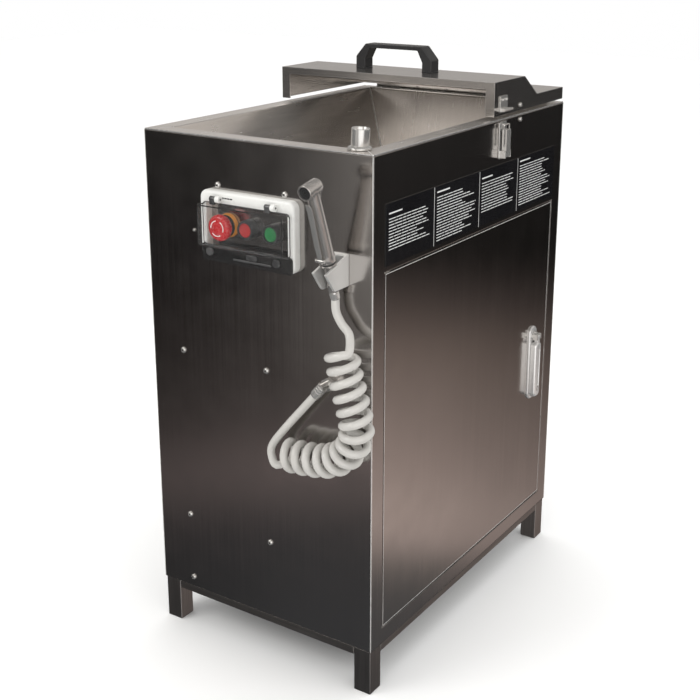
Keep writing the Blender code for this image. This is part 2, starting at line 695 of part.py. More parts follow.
def door_handle():
    """A swing handle: base plate, spindle with its cam, lever that tilts out of the way, and lock."""
    y, z = HANDLE_Y, SPINDLE_Z
    face = RIGHT + DOOR_HANDLE_PLATE
    half = DOOR_HANDLE_WIDTH / 2
    door_pivot = (*DOOR_AXIS, 0)
    plate = block(
        (RIGHT + GAP, y - half, DOOR_HANDLE_BOTTOM), (face, y + half, DOOR_HANDLE_BOTTOM + DOOR_HANDLE_LENGTH),
        "X", 0.008,
    )
    hole = rod((RIGHT - 0.01, y, z), (RIGHT + 0.01, y, z), SPINDLE_RADIUS + SLACK)
    make("door_handle_base", "bright_steel", plate, cut=[hole], pivot=door_pivot)

    tilt_x = RIGHT + 0.012
    ears = [
        block((RIGHT + 0.006, y + a, z - 0.005), (RIGHT + 0.0150, y + a + 0.0022, z + 0.005))
        for a in (-0.0085, 0.0063)
    ]
    parts = [
        rod((face + GAP, y, z), (RIGHT + 0.0075, y, z), 0.009, 32),
        *ears,
        rod((tilt_x, y - 0.008, z), (tilt_x, y + 0.008, z), 0.0015, 12),
        block((RIGHT - 0.028, y - 0.009, z - 0.009), (RIGHT - 0.025, y + DOOR_HANDLE_FROM_REAR - 0.003, z + 0.009)),
    ]
    make(
        "door_handle_swivel", "bright_steel",
        rod((RIGHT - 0.027, y, z), (RIGHT + 0.006, y, z), SPINDLE_RADIUS, 24),
        join=parts, pivot=(RIGHT, y, z), smooth=False,
    )

    low, top = DOOR_HANDLE_BOTTOM + 0.006, z - 0.011
    lock_z = low + 0.016
    bar = block(
        (face + SLACK, y - LEVER_WIDTH / 2, low), (face + SLACK + LEVER_THICKNESS, y + LEVER_WIDTH / 2, top),
        "X", 0.006,
    )
    tongue = block((tilt_x - 0.0025, y - 0.0055, top - 0.004), (tilt_x + 0.003, y + 0.0055, z + 0.003))
    bores = [
        rod((tilt_x, y - 0.01, z), (tilt_x, y + 0.01, z), 0.0018, 12),
        rod((RIGHT, y, lock_z), (RIGHT + 0.03, y, lock_z), 0.0058, 24),
    ]
    make("door_handle_lever", "bright_steel", bar, join=[tongue], cut=bores, pivot=(tilt_x, y, z), smooth=False)
    lock = rod((face + SLACK + 0.001, y, lock_z), (face + SLACK + LEVER_THICKNESS + 0.0002, y, lock_z), 0.0055, 24)
    make("lock_cylinder", "bright_steel", lock, pivot=(tilt_x, y, lock_z))


# ------------------------------------------------------------------ control box


def control_box():
    """The white frame round the buttons, and the clear cover hinged on its top edge."""
    left, right = CONTROL_LEFT, CONTROL_LEFT + CONTROL_WIDTH
    low, top = CONTROL_BOTTOM, CONTROL_BOTTOM + CONTROL_HEIGHT
    axis_y, axis_z = COVER_AXIS
    knuckles = [left + 0.025, right - 0.047]
    bosses = []
    for x in knuckles:
        bosses.append(rod((x + 0.0110, axis_y, axis_z), (x + 0.0190, axis_y, axis_z), 0.0055, 20))
        bosses.append(block((x + 0.0114, axis_y + 0.001, axis_z - 0.0045), (x + 0.0186, CONTROL_FACE + 0.001, axis_z + 0.0045)))
        bosses.append(rod((x + 0.0005, axis_y, axis_z), (x + 0.0150, axis_y, axis_z), 0.0016, 12))
    window = block(
        (left + CONTROL_BORDER, FRONT - 0.05, low + CONTROL_BORDER + 0.004),
        (right - CONTROL_BORDER, FRONT + 0.01, top - CONTROL_BORDER - 0.006), "Y", 0.004,
    )
    make(
        "control_frame", "white_plastic",
        block((left, CONTROL_FACE, low), (right, FRONT - GAP, top), "Y", 0.012, 4),
        join=bosses, cut=[window],
    )

    back, front = CONTROL_FACE - GAP, FRONT - COVER_DEPTH
    plate = block((left + 0.005, back - COVER_WALL, low + 0.007), (right - 0.003, back, top - 0.0165), "Y", 0.004)
    bubble = block((left + 0.009, front, low + 0.025), (right - 0.006, back - 0.001, top - 0.0175), "Y", 0.005)
    hollow = block(
        (left + 0.009 + COVER_WALL, front + COVER_WALL, low + 0.025 + COVER_WALL),
        (right - 0.006 - COVER_WALL, FRONT, top - 0.0175 - COVER_WALL), "Y", 0.004,
    )
    hinges = []
    bores = []
    for x in knuckles:
        hinges.append(rod((x, axis_y, axis_z), (x + 0.0105, axis_y, axis_z), 0.0040, 16))
        hinges.append(block((x, axis_y, top - 0.0185), (x + 0.0105, back - SLACK, axis_z)))
        bores.append(rod((x - 0.001, axis_y, axis_z), (x + 0.012, axis_y, axis_z), 0.0019, 12))
    make(
        "control_cover", "clear_plastic", plate,
        join=[bubble, *hinges], cut=[hollow, *bores], pivot=(0, axis_y, axis_z),
    )


def emergency_stop():
    """Collar with its contact block behind the sheet, a stem that is pushed in, and the mushroom head."""
    x, z = BUTTON_X["estop"], BUTTON_HEIGHT
    rear = FRONT + 0.045
    block_behind = block((x - 0.015, FRONT + SHEET + 0.006, z - 0.020), (x + 0.015, rear, z + 0.020))
    make(
        "estop_collar", "orange_plastic",
        rod((x, FRONT - GAP, z), (x, FRONT - ESTOP_COLLAR, z), 0.0185, 32, 0.0165),
        join=[rod((x, FRONT - 0.002, z), (x, FRONT + 0.012, z), BUTTON_HOLE - GAP, 24), block_behind],
        cut=[rod((x, FRONT - 0.02, z), (x, FRONT + 0.020, z), 0.0075, 24)],
    )
    pivot = (x, FRONT, z)
    make(
        "estop_stem", "black_plastic",
        rod((x, FRONT + 0.012, z), (x, FRONT - ESTOP_UNDERSIDE - 0.006, z), 0.0068, 24), pivot=pivot,
    )
    height = ESTOP_FACE - ESTOP_UNDERSIDE
    dome = profile([(0, height), (0.0150, height), (0.0185, height - 0.003), (ESTOP_RADIUS, height - 0.007),
                    (0.0192, 0.003), (0.0165, 0), (0, 0)])
    head = make(
        "estop_head", "red_plastic", dome, turned=32,
        cut=[rod((0, 0, -0.01), (0, 0, 0.0065), 0.0071, 24)],
    )
    head.location = (x, FRONT - ESTOP_UNDERSIDE, z)
    head.rotation_euler = (math.pi / 2, 0, 0)
    for step in head.modifiers:
        if step.type == "BOOLEAN":
            step.object.location = head.location
            step.object.rotation_euler = head.rotation_euler


def push_button(name, kind):
    """A flush push button: black bezel with its contact block behind the sheet, and the coloured cap."""
    x, z = BUTTON_X[name], BUTTON_HEIGHT
    block_behind = block((x - 0.0125, FRONT + SHEET + 0.006, z - 0.020), (x + 0.0125, FRONT + 0.040, z + 0.020))
    under = FRONT - BEZEL_FACE + 0.0028
    make(
        f"{name}_bezel", "black_plastic",
        rod((x, FRONT - GAP, z), (x, FRONT - BEZEL_FACE, z), BEZEL_RADIUS, 32, BEZEL_RADIUS - 0.001),
        join=[rod((x, FRONT - 0.002, z), (x, FRONT + 0.012, z), BUTTON_HOLE - GAP, 24), block_behind],
        cut=[
            rod((x, FRONT - 0.03, z), (x, FRONT + 0.016, z), 0.0095, 24),
            rod((x, FRONT - 0.03, z), (x, under + BUTTON_TRAVEL + GAP, z), 0.0112, 32),
        ],
    )
    cap = rod((x, under - 0.002, z), (x, under, z), 0.0109, 32)
    stem = rod((x, under - 0.001, z), (x, FRONT + 0.008, z), 0.0090, 24)
    make(f"{name}_button", kind, cap, join=[stem], pivot=(x, FRONT, z))


# ------------------------------------------------------------------ sprayer, holder and hose


def sprayer_holder():
    """A fork on the front sheet. Its top slopes so that the sprayer's shoulder sits square on it."""
    x, slope = SPRAYER_SEAT.x, math.tan(SPRAYER_LEAN)
    top = [(FRONT - out, SEAT_HEIGHT - (out - SEAT_OUT) * slope) for out in (GAP, 0.056)]
    outline = [top[0], top[1], (FRONT - 0.0345, 0.651), (FRONT - GAP, 0.651)]
    half = HOLDER_WIDTH / 2
    slot = block((x - half + HOLDER_WALL, FRONT - 0.1, 0.6), (x + half - HOLDER_WALL, FRONT - 0.006, 0.75))
    make("sprayer_holder", "cast_alloy", prism(outline, "X", x - half, x + half), cut=[slot], smooth=False)


def sprayer():
    """The rinse handset in its own frame: origin on its seat, +Z along its body and -Y out of its nozzle."""
    axis = bpy.data.objects.new("sprayer_axis", None)
    axis.location = SPRAYER_SEAT
    axis.rotation_euler = (SPRAYER_LEAN, 0, 0)
    axis.parent = ROOT
    PARTS.objects.link(axis)
    top = SPRAYER_LENGTH
    body = profile([
        (0, top), (0.0086, top), (0.0088, top - 0.010), (0.0118, 0.014), (0.0122, 0.008), (0.0112, 0.007),
        (0.0112, 0.004), (0.0120, 0.003), (0.0118, GAP), (0.0080, GAP), (0.0078, -0.006), (0.0066, -NUT_LENGTH),
        (0, -NUT_LENGTH),
    ])
    tilt = math.radians(5)
    out = Vector((0, -math.cos(tilt), math.sin(tilt)))
    centre = Vector((0, 0, top))
    head = rod(centre - out * 0.011, centre + out * 0.0185, 0.0112, 32)
    cap = rod(centre - out * 0.0145, centre - out * 0.010, 0.0080, 32, 0.0112)
    pivot_y, pivot_z = -0.0152, 0.0155
    lugs = [
        block((a, pivot_y - 0.003, pivot_z - 0.003), (a + 0.0015, -0.006, pivot_z + 0.003))
        for a in (-0.0070, 0.0055)
    ]
    pin = rod((-0.0065, pivot_y, pivot_z), (0.0065, pivot_y, pivot_z), 0.0011, 12)
    make("sprayer_body", "bright_steel", body, turned=32, join=[cap, head, *lugs, pin], parent=axis)

    lever = block((-0.0050, pivot_y - 0.0009, pivot_z), (0.0050, pivot_y + 0.0009, top - 0.015))
    hub = rod((-0.0050, pivot_y, pivot_z), (0.0050, pivot_y, pivot_z), 0.0026, 16)
    bore = rod((-0.01, pivot_y, pivot_z), (0.01, pivot_y, pivot_z), 0.0014, 12)
    make(
        "sprayer_trigger", "bright_steel", hub, join=[lever], cut=[bore],
        parent=axis, pivot=(0, pivot_y, pivot_z), smooth=False,
    )


def hose_places():
    """The hose's routes as (distance from the right side, distance out, height): lead, coil and tail."""
    nut_end = SPRAYER_SEAT - SPRAYER_AXIS * (NUT_LENGTH + GAP)
    after_nut = nut_end - SPRAYER_AXIS * STRAIGHT_END
    barb_end = ELBOW + ELBOW_DIRECTION * (ELBOW_SLEEVE + GAP)
    before_barb = barb_end + ELBOW_DIRECTION * STRAIGHT_END
    def place(from_right, out, z):
        return Vector((RIGHT - from_right, FRONT - out, z))
    lead = [
        nut_end, after_nut, place(0.0495, 0.018, 0.616), place(0.040, 0.022, 0.601),
        place(0.024, 0.026, 0.590), place(0.012, 0.0275, 0.581), place(0.0085, 0.028, 0.5735),
    ]
    coil = [
        place(0.034, HOSE_OUT, 0.566), place(0.027, HOSE_OUT, 0.530), place(0.018, HOSE_OUT, 0.498),
        place(0.010, HOSE_OUT, 0.468), place(0.008, HOSE_OUT, 0.444), place(0.016, HOSE_OUT, 0.421),
        place(0.034, HOSE_OUT, 0.402), place(0.057, HOSE_OUT, 0.3905), place(0.081, HOSE_OUT, 0.3855),
        place(0.106, HOSE_OUT, 0.383), place(0.137, HOSE_OUT, 0.3815),
    ]
    tail = [
        place(0.1388, HOSE_OUT, 0.3606), place(0.151, HOSE_OUT, 0.3645), place(0.161, 0.026, 0.3755),
        place(0.159, 0.024, 0.392), place(0.138, 0.022, 0.420), before_barb, barb_end,
    ]
    return lead, coil, tail


def hose():
    """The rinse hose: a plain lead, one thick tube in place of its coil, and a plain tail to the elbow."""
    lead, coil, tail = hose_places()
    tube("hose_lead", "hose_cream", smooth_route(lead, 0.013), HOSE_RADIUS, 2)
    tube("hose_coil", "hose_cream", smooth_route(coil, 0.020), COIL_RADIUS, 4)
    tube("hose_tail", "hose_cream", smooth_route(tail, 0.013), HOSE_RADIUS, 2)


def hose_elbow():
    """The fitting on the front sheet: a nut, a bent neck, the sleeve that grips the hose, and a shank."""
    x, z = ELBOW.x, ELBOW.z
    sleeve_end = ELBOW + ELBOW_DIRECTION * ELBOW_SLEEVE
    make(
        "hose_elbow", "bright_steel",
        rod((x, FRONT - GAP, z), (x, FRONT - 0.008, z), ELBOW_NUT_RADIUS, 6),
        join=[
            rod((x, FRONT - 0.004, z), (x, ELBOW.y - 0.006, z), ELBOW_NECK_RADIUS, 24),
            rod(ELBOW, sleeve_end, ELBOW_SLEEVE_RADIUS, 24),
            rod((x, FRONT - 0.004, z), (x, FRONT + 0.012, z), ELBOW_NECK_RADIUS - 0.001, 24),
        ],
        smooth=False,
    )


# ------------------------------------------------------------------ grinding unit and services


def grinder():
    """The rubber seal, the chamber with its stationary ring, and the turntable with two swivel lugs."""
    half = OUTLET_SIDE / 2 + FLANGE
    centre = Vector((0, OUTLET_Y, 0))

    def at(z, x=0.0, y=0.0):
        return centre + Vector((x, y, z))

    seal = block(at(FLANGE_BOTTOM - GAP - GASKET, -half, -half), at(FLANGE_BOTTOM - GAP, half, half))
    mouth = block(at(0.5, 0.003 - OUTLET_SIDE / 2, 0.003 - OUTLET_SIDE / 2),
                  at(0.6, OUTLET_SIDE / 2 - 0.003, OUTLET_SIDE / 2 - 0.003))
    make("throat_seal", "rubber", seal, cut=[mouth], smooth=False)

    top, low = CHAMBER_TOP, CHAMBER_BOTTOM
    flange = block(at(top - CHAMBER_FLANGE, -half, -half), at(top, half, half), "Z", 0.010)
    stub_start, stub_end = at(DRAIN_Z, y=CHAMBER_RADIUS - 0.006), at(DRAIN_Z, y=CHAMBER_RADIUS + DRAIN_STUB)
    make(
        "grinding_chamber", "cast_alloy", flange,
        join=[rod(at(low), at(top - CHAMBER_FLANGE / 2), CHAMBER_RADIUS, 48),
              rod(stub_start, stub_end, DRAIN_RADIUS + DRAIN_STUB_WALL, 24)],
        cut=[
            rod(at(low + CHAMBER_FLOOR), at(top + 0.01), CHAMBER_BORE, 48),
            rod(at(low - 0.01), at(low + 0.02), SHAFT_RADIUS + 0.001, 24),
            rod(at(DRAIN_Z, y=CHAMBER_BORE - 0.010), at(DRAIN_Z, y=CHAMBER_RADIUS + 0.03), DRAIN_BORE, 24),
        ],
        smooth=False,
    )
    make(
        "shredder_ring", "bright_steel",
        rod(at(ROTOR_Z), at(ROTOR_Z + RING_HEIGHT), CHAMBER_BORE - GAP, 48),
        cut=[rod(at(ROTOR_Z - 0.01), at(ROTOR_Z + RING_HEIGHT + 0.01), CHAMBER_BORE - RING_THICKNESS, 48)], smooth=False,
    )
    make(
        "turntable", "bright_steel",
        rod(at(ROTOR_Z), at(ROTOR_Z + PLATE_THICKNESS), CHAMBER_BORE - RING_THICKNESS - 0.001, 48),
        join=[
            rod(at(low - SHAFT_REACH), at(ROTOR_Z + 0.001), SHAFT_RADIUS, 24),
            rod(at(ROTOR_Z + 0.004), at(ROTOR_Z + HUB_HEIGHT), HUB_RADIUS, 24),
            *(rod(at(ROTOR_Z + 0.004, s * LUG_FROM_CENTRE), at(ROTOR_Z + LUG_PIN_TOP, s * LUG_FROM_CENTRE),
                  LUG_PIN_RADIUS, 16) for s in (-1, 1)),
        ],
        pivot=at(ROTOR_Z), smooth=False,
    )
    for letter, side in (("a", -1), ("b", 1)):
        x = side * LUG_FROM_CENTRE
        low_z, high_z = ROTOR_Z + PLATE_THICKNESS + SLACK, ROTOR_Z + LUG_PIN_TOP - SLACK
        arm = block(at(low_z, x - LUG_HALF_WIDTH, -LUG_HALF_WIDTH), at(high_z, x + LUG_HALF_WIDTH, LUG_TIP), "Z", 0.006)
        bore = rod(at(low_z - 0.01, x), at(high_z + 0.01, x), LUG_PIN_RADIUS + SLACK, 16)
        make(f"swivel_lug_{letter}", "cast_alloy", arm, cut=[bore], pivot=at(low_z, x), smooth=False)


def motor():
    """The motor housing under the chamber, and the bridge that carries it on the side rails."""
    centre = Vector((0, OUTLET_Y, 0))
    top, low = centre + Vector((0, 0, MOTOR_TOP)), centre + Vector((0, 0, MOTOR_BOTTOM))
    make(
        "motor_housing", "painted_motor",
        rod(low + Vector((0, 0, 0.012)), top - Vector((0, 0, 0.012)), MOTOR_RADIUS - 0.004, 40),
        join=[
            rod(top - Vector((0, 0, BELL_HEIGHT)), top, MOTOR_RADIUS, 40),
            rod(low, low + Vector((0, 0, BELL_HEIGHT)), MOTOR_RADIUS, 40),
        ],
        cut=[rod(top - Vector((0, 0, SHAFT_REACH + 0.010)), top + Vector((0, 0, 0.01)), SHAFT_RADIUS + 0.001, 24)],
        smooth=False,
    )
    plate = BRIDGE_PLATE
    rail_top, bridge_top = RAIL_HEIGHT + TUBE + GAP, MOTOR_BOTTOM - GAP
    reach, half, near = RIGHT - SKIN - 0.004, BRIDGE_HALF, 0.055
    outline = [
        (-reach, rail_top), (-half + plate, rail_top), (-half + plate, bridge_top - plate),
        (half - plate, bridge_top - plate), (half - plate, rail_top), (reach, rail_top),
        (reach, rail_top + plate), (half, rail_top + plate), (half, bridge_top), (-half, bridge_top),
        (-half, rail_top + plate), (-reach, rail_top + plate),
    ]
    make(
        "motor_bridge", "brushed_steel", prism(outline, "Y", OUTLET_Y - near, OUTLET_Y + near), smooth=False
    )


def services():
    """Drain pipe, water valve and pipe, electrical box behind the front sheet, and the power cable's gland."""
    start_y = OUTLET_Y + CHAMBER_RADIUS + DRAIN_STUB + GAP
    make(
        "drain_pipe", "bright_steel",
        rod((0, start_y, DRAIN_Z), (0, BACK + BACK_REACH, DRAIN_Z), DRAIN_RADIUS, 32),
        cut=[rod((0, start_y - 0.01, DRAIN_Z), (0, BACK + BACK_REACH + 0.01, DRAIN_Z), DRAIN_BORE, 32)],
    )
    x, z = ELBOW.x, ELBOW.z
    body_start = FRONT + SHEET + 0.005
    make(
        "water_valve", "brass",
        block((x - 0.016, body_start, z - 0.018), (x + 0.016, body_start + VALVE_LENGTH, z + 0.018), "X", 0.004),
        join=[rod((x, body_start + 0.022, z + 0.016), (x, body_start + 0.022, z + 0.060), 0.0150, 24)],
        cut=[rod((x, FRONT, z), (x, body_start + 0.020, z), 0.0065, 24)],
        smooth=False,
    )
    route = [
        (x, body_start + VALVE_LENGTH + GAP, z), (x, body_start + VALVE_LENGTH + 0.015, z),
        (x, body_start + VALVE_LENGTH + 0.030, z),
        (PIPE_X - 0.003, FRONT + 0.120, PIPE_Z + 0.012),
        (PIPE_X, FRONT + 0.170, PIPE_Z), (PIPE_X, 0, PIPE_Z), (PIPE_X, BACK - 0.040, PIPE_Z),
        (PIPE_X, BACK + 0.010, PIPE_Z), (PIPE_X, BACK + BACK_REACH - 0.004, PIPE_Z),
    ]
    tube("water_pipe", "bright_steel", smooth_route(route, 0.014), PIPE_RADIUS, 2)
    left, low, middle = LEFT + BOX_WIDTH / 2, BOX_BOTTOM, LEFT + BOX_WIDTH
    tray = block((left, FRONT + SKIN, low), (left + BOX_WIDTH, FRONT + SKIN + BOX_DEPTH, low + BOX_HEIGHT))
    front = [f for f in tray.faces if f.normal.y < -0.9]
    bmesh.ops.delete(tray, geom=front, context="FACES_ONLY")
    entry = rod((middle, FRONT + 0.06, low - 0.01), (middle, FRONT + 0.06, low + 0.01), 0.010, 20)
    make("electrical_box", "cast_alloy", tray, shell=0.0015, cut=[entry], smooth=False)
    make(
        "cable_gland", "black_plastic",
        rod((GLAND_X, BACK + GAP, GLAND_Z), (GLAND_X, BACK + 0.010, GLAND_Z), 0.0120, 6),
        join=[
            rod((GLAND_X, BACK - 0.014, GLAND_Z), (GLAND_X, BACK + 0.005, GLAND_Z), 0.0080, 24),
            rod((GLAND_X, BACK + 0.008, GLAND_Z), (GLAND_X, BACK + 0.026, GLAND_Z), 0.0100, 24, 0.0075),
        ],
        cut=[rod((GLAND_X, BACK - 0.03, GLAND_Z), (GLAND_X, BACK + 0.04, GLAND_Z), 0.0045, 24)],
        smooth=False,
    )


frame()
sheets()
hopper()
rim_spout()
lid()
lid_hinge()
latch()
door()
door_handle()
control_box()
emergency_stop()
push_button("stop", "red_plastic")
push_button("start", "green_plastic")
sprayer_holder()
sprayer()
hose()
hose_elbow()
grinder()
motor()
services()
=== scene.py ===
"""Looks for the food-waste grinder: a stainless cabinet with its hopper, lid, controls and rinse hose.

Metres, +Z up. The front faces -Y and the service door faces +X.
"""
import math

import bpy
import numpy as np
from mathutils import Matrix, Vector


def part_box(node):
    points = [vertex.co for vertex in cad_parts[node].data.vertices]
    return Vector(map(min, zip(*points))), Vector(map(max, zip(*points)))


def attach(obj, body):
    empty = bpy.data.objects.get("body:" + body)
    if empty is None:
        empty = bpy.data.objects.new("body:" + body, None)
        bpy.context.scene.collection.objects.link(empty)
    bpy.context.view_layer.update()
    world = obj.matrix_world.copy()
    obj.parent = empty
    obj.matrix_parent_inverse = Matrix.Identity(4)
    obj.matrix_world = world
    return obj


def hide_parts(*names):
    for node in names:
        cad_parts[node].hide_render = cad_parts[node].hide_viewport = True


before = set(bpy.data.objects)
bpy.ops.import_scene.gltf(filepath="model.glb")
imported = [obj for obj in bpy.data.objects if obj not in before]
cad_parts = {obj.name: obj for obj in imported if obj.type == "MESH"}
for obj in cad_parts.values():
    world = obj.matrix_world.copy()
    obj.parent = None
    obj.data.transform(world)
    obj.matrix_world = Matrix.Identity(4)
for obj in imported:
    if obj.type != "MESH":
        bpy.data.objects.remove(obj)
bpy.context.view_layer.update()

# ------------------------------------------------------------------ studio
# The object stands on a plain white floor in a white room. A camera with a long lens looks down a little
# from the front right corner. Soft lamps light the plastics, and a separate dark surround is what the
# polished sheets mirror, as black screens beside the set would give.
MIDDLE = np.array([-0.0081, 0.0293, 0.0])  # the cabinet's centre on the floor
YAW, PITCH = 0.5864, 0.2835
LENS_LENGTHS = 1191.2 / 700  # focal length in widths of the image
lens = bpy.data.cameras.new("camera")
lens.sensor_width = 36
lens.lens = LENS_LENGTHS * lens.sensor_width
lens.shift_y = -75 / 700
camera = bpy.data.objects.new("camera", lens)
camera.location = MIDDLE + np.array([1.0523, -1.6389, 1.1321])
camera.rotation_euler = (math.pi / 2 - PITCH, 0, YAW)
bpy.context.scene.collection.objects.link(camera)
bpy.context.scene.camera = camera
bpy.context.scene.view_settings.view_transform = "Standard"

room = bpy.data.worlds.new("room")
room.use_nodes = True
bpy.context.scene.world = room
tree = room.node_tree
tree.nodes.clear()


def room_node(kind, links=(), **values):
    """Add a node to the room, with links and constant inputs by socket number, and settings by name."""
    made = tree.nodes.new("ShaderNode" + kind)
    for key, value in values.items():
        if key.startswith("input"):
            made.inputs[int(key[5:])].default_value = value
        else:
            setattr(made, key, value)
    for number, source in links:
        tree.links.new(source, made.inputs[number])
    return made


def ramp(node, stops):
    """Set a colour ramp's stops, each (position, (red, green, blue))."""
    elements = node.color_ramp.elements
    while len(elements) < len(stops):
        elements.new(0.5)
    for element, (position, colour) in zip(elements, stops):
        element.position = position
        element.color = (*colour, 1)


towards = room_node("TexCoord").outputs["Generated"]
split = room_node("SeparateXYZ", [(0, towards)])
level = room_node("MapRange", [(0, split.outputs["Z"])], input1=-1.0, input2=1.0)
ABOVE = [
    (0.412, (0.03, 0.028, 0.027)), (0.47, (0.032, 0.031, 0.031)), (0.515, (0.17, 0.16, 0.15)),
    (0.56, (0.5, 0.46, 0.425)), (0.64, (0.62, 0.58, 0.54)), (1.0, (0.36, 0.34, 0.32)),
]
left_view, right_view = (room_node("ValToRGB", [(0, level.outputs[0])]) for side in range(2))
ramp(left_view, [
    (0.225, (0.07, 0.072, 0.076)), (0.262, (0.062, 0.062, 0.065)), (0.271, (0.085, 0.078, 0.078)),
    (0.279, (0.25, 0.205, 0.2)), (0.29, (0.265, 0.215, 0.21)), (0.299, (0.1, 0.085, 0.082)),
    (0.318, (0.072, 0.063, 0.06)), (0.345, (0.042, 0.036, 0.034)), (0.365, (0.019, 0.017, 0.018)),
] + ABOVE)
ramp(right_view, [
    (0.24, (0.1, 0.098, 0.1)), (0.252, (0.2, 0.18, 0.17)), (0.259, (0.62, 0.5, 0.46)),
    (0.272, (0.63, 0.51, 0.465)), (0.285, (0.5, 0.4, 0.365)), (0.308, (0.36, 0.288, 0.26)),
    (0.33, (0.26, 0.205, 0.182)), (0.35, (0.1, 0.08, 0.074)), (0.368, (0.018, 0.017, 0.016)),
] + ABOVE)


def share(direction, start, end, low=0.0, high=1.0):
    """How far a mirrored ray points along a direction, brought from start..end to low..high and eased."""
    dot = room_node("VectorMath", [(0, towards)], operation="DOT_PRODUCT", input1=direction)
    return room_node("MapRange", [(0, dot.outputs["Value"])], interpolation_type="SMOOTHSTEP",
                     input1=start, input2=end, input3=low, input4=high).outputs[0]


def times(first, second):
    """Two strengths multiplied."""
    return room_node("Math", [(0, first), (1, second)], operation="MULTIPLY").outputs[0]


surround = room_node("Mix", [(0, share((0.55, 0.83, 0.0), -0.35, 0.35)), (6, left_view.outputs[0]),
                             (7, right_view.outputs[0])], data_type="RGBA")
mirrored = room_node("Background", [(0, surround.outputs[2]),
    (1, share((0.833, -0.553, 0.0), -0.16, -0.03, 0.55, 1.05))])
window = room_node("Background", [(1, share((-0.55, 0.81, 0.21), 0.9, 0.975, 0.0, 0.22))],
    input0=(1, 0.985, 0.97, 1))
strip = room_node("Background",
    [(1, times(times(share((0.833, -0.553, 0.0), -0.012, 0.004), share((0, -1, 0), 0.2, 0.5)),
                                           times(share((0, 0, 1), -0.44, -0.27),
                                           share((0, 0, -1), -0.1, 0.1, 0.0, 0.36))))],
                  input0=(1, 0.95, 0.9, 1))
mirrored = room_node("AddShader", [(0, mirrored.outputs[0]), (1, window.outputs[0])])
mirrored = room_node("AddShader", [(0, mirrored.outputs[0]), (1, strip.outputs[0])])
softbox = room_node("Background", [(1, share((0.66, -0.75, 0.05), 0.72, 0.93, 0.0, 1.2))],
    input0=(1, 0.99, 0.98, 1))
mirrored = room_node("AddShader", [(0, mirrored.outputs[0]), (1, softbox.outputs[0])])
white = room_node("Background", input0=(1, 1, 1, 1), input1=1.0)
fill = room_node("Background", input0=(1, 0.997, 0.992, 1), input1=1.08)
rays = room_node("LightPath")
diffuse_or_mirror = room_node("MixShader", [(0, rays.outputs["Is Glossy Ray"]), (1, fill.outputs[0]),
    (2, mirrored.outputs[0])])
seen = room_node("MixShader", [(0, rays.outputs["Is Camera Ray"]), (1, diffuse_or_mirror.outputs[0]),
    (2, white.outputs[0])])
room_node("OutputWorld", [(0, seen.outputs[0])])


def lamp(name, place, aim, size, power, colour=(1, 1, 1), glossy=False):
    """A soft square lamp at a place, turned towards the point it lights."""
    light = bpy.data.lights.new(name, "AREA")
    light.size = size
    light.energy = power
    light.color = colour
    made = bpy.data.objects.new(name, light)
    back = np.array(place, float) - np.array(aim, float)
    turn = math.atan2(back[1], back[0]) + math.pi / 2
    tip = math.atan2(math.hypot(back[0], back[1]), back[2])
    made.location = place
    made.rotation_euler = (tip, 0, turn)
    made.visible_glossy = glossy
    bpy.context.scene.collection.objects.link(made)


lamp("key_lamp", (-1.6, -2.6, 2.8), (0, 0, 0.5), 1.6, 30, (1.0, 0.985, 0.96), glossy=True)
lamp("side_lamp", (2.8, 0.4, 2.2), (0, 0, 0.5), 1.4, 12)
lamp("top_lamp", (0.2, 0.6, 3.2), (0, 0, 0.6), 1.8, 16)


def stage_sheet(name, corners, colour):
    """A flat four-cornered sheet of the set."""
    mesh = bpy.data.meshes.new(name)
    mesh.from_pydata(corners, [], [(0, 1, 2, 3)])
    paint = bpy.data.materials.new(name)
    paint.use_nodes = True
    shader = paint.node_tree.nodes["Principled BSDF"]
    shader.inputs["Base Color"].default_value = (*colour, 1)
    shader.inputs["Roughness"].default_value = 0.9
    shader.inputs["Specular IOR Level"].default_value = 0.1
    mesh.materials.append(paint)
    made = bpy.data.objects.new(name, mesh)
    made.visible_glossy = False
    bpy.context.scene.collection.objects.link(made)


stage_sheet("floor", [(-9, -9, 0), (9, -9, 0), (9, 9, 0), (-9, 9, 0)], (0.96, 0.96, 0.955))


# ------------------------------------------------------------------ rinse hose
# One length of cream plastic hose, a little over 12 mm thick. It hangs from the sprayer, runs through a coil
# of fourteen turns that droops to the left, and comes back up to the elbow on the front sheet.
FRONT_FACE = float(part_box("front_panel")[0][1])
RIGHT_FACE = float(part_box("right_panel")[1][0])
HOSE_RADIUS = 0.0062
TURN_RADIUS = 0.0199
TURNS = 14
HOSE_OUT = 0.028


def finish(name, values):
    """Start a material with constant shader values. Return it, a function that adds nodes and a function that
    links a source into the shader.

    The adding function takes the node's kind, its links by socket, its constants by socket, and settings.
    """
    made = bpy.data.materials.new(name)
    made.use_nodes = True
    nodes = made.node_tree
    shader = nodes.nodes["Principled BSDF"]
    for socket, value in values.items():
        shader.inputs[socket].default_value = value

    def add(kind, links, constants=None, **settings):
        node = nodes.nodes.new("ShaderNode" + kind)
        for key, value in settings.items():
            setattr(node, key, value)
        for socket, value in (constants or {}).items():
            node.inputs[socket].default_value = value
        for socket, source in links.items():
            nodes.links.new(source, node.inputs[socket])
        return node.outputs

    def connect(source, socket):
        nodes.links.new(source, shader.inputs[socket])

    return made, add, connect


def noise(add, scale, detail=3.0, stretch=(1, 1, 1), roughness=0.5):
    """A noise pattern in the object's own coordinates, stretched along an axis by a small factor there."""
    place = add("TexCoord", {})["Object"]
    place = add("Mapping", {"Vector": place}, {"Scale": stretch})["Vector"]
    return add("TexNoise", {"Vector": place},
        {"Scale": scale, "Detail": detail, "Roughness": roughness})["Fac"]


def span(add, source, low, high, start=0.3, end=0.7):
    """Bring a pattern's middle values to run from low to high."""
    return add("MapRange", {"Value": source},
        {"From Min": start, "From Max": end, "To Min": low, "To Max": high})["Result"]


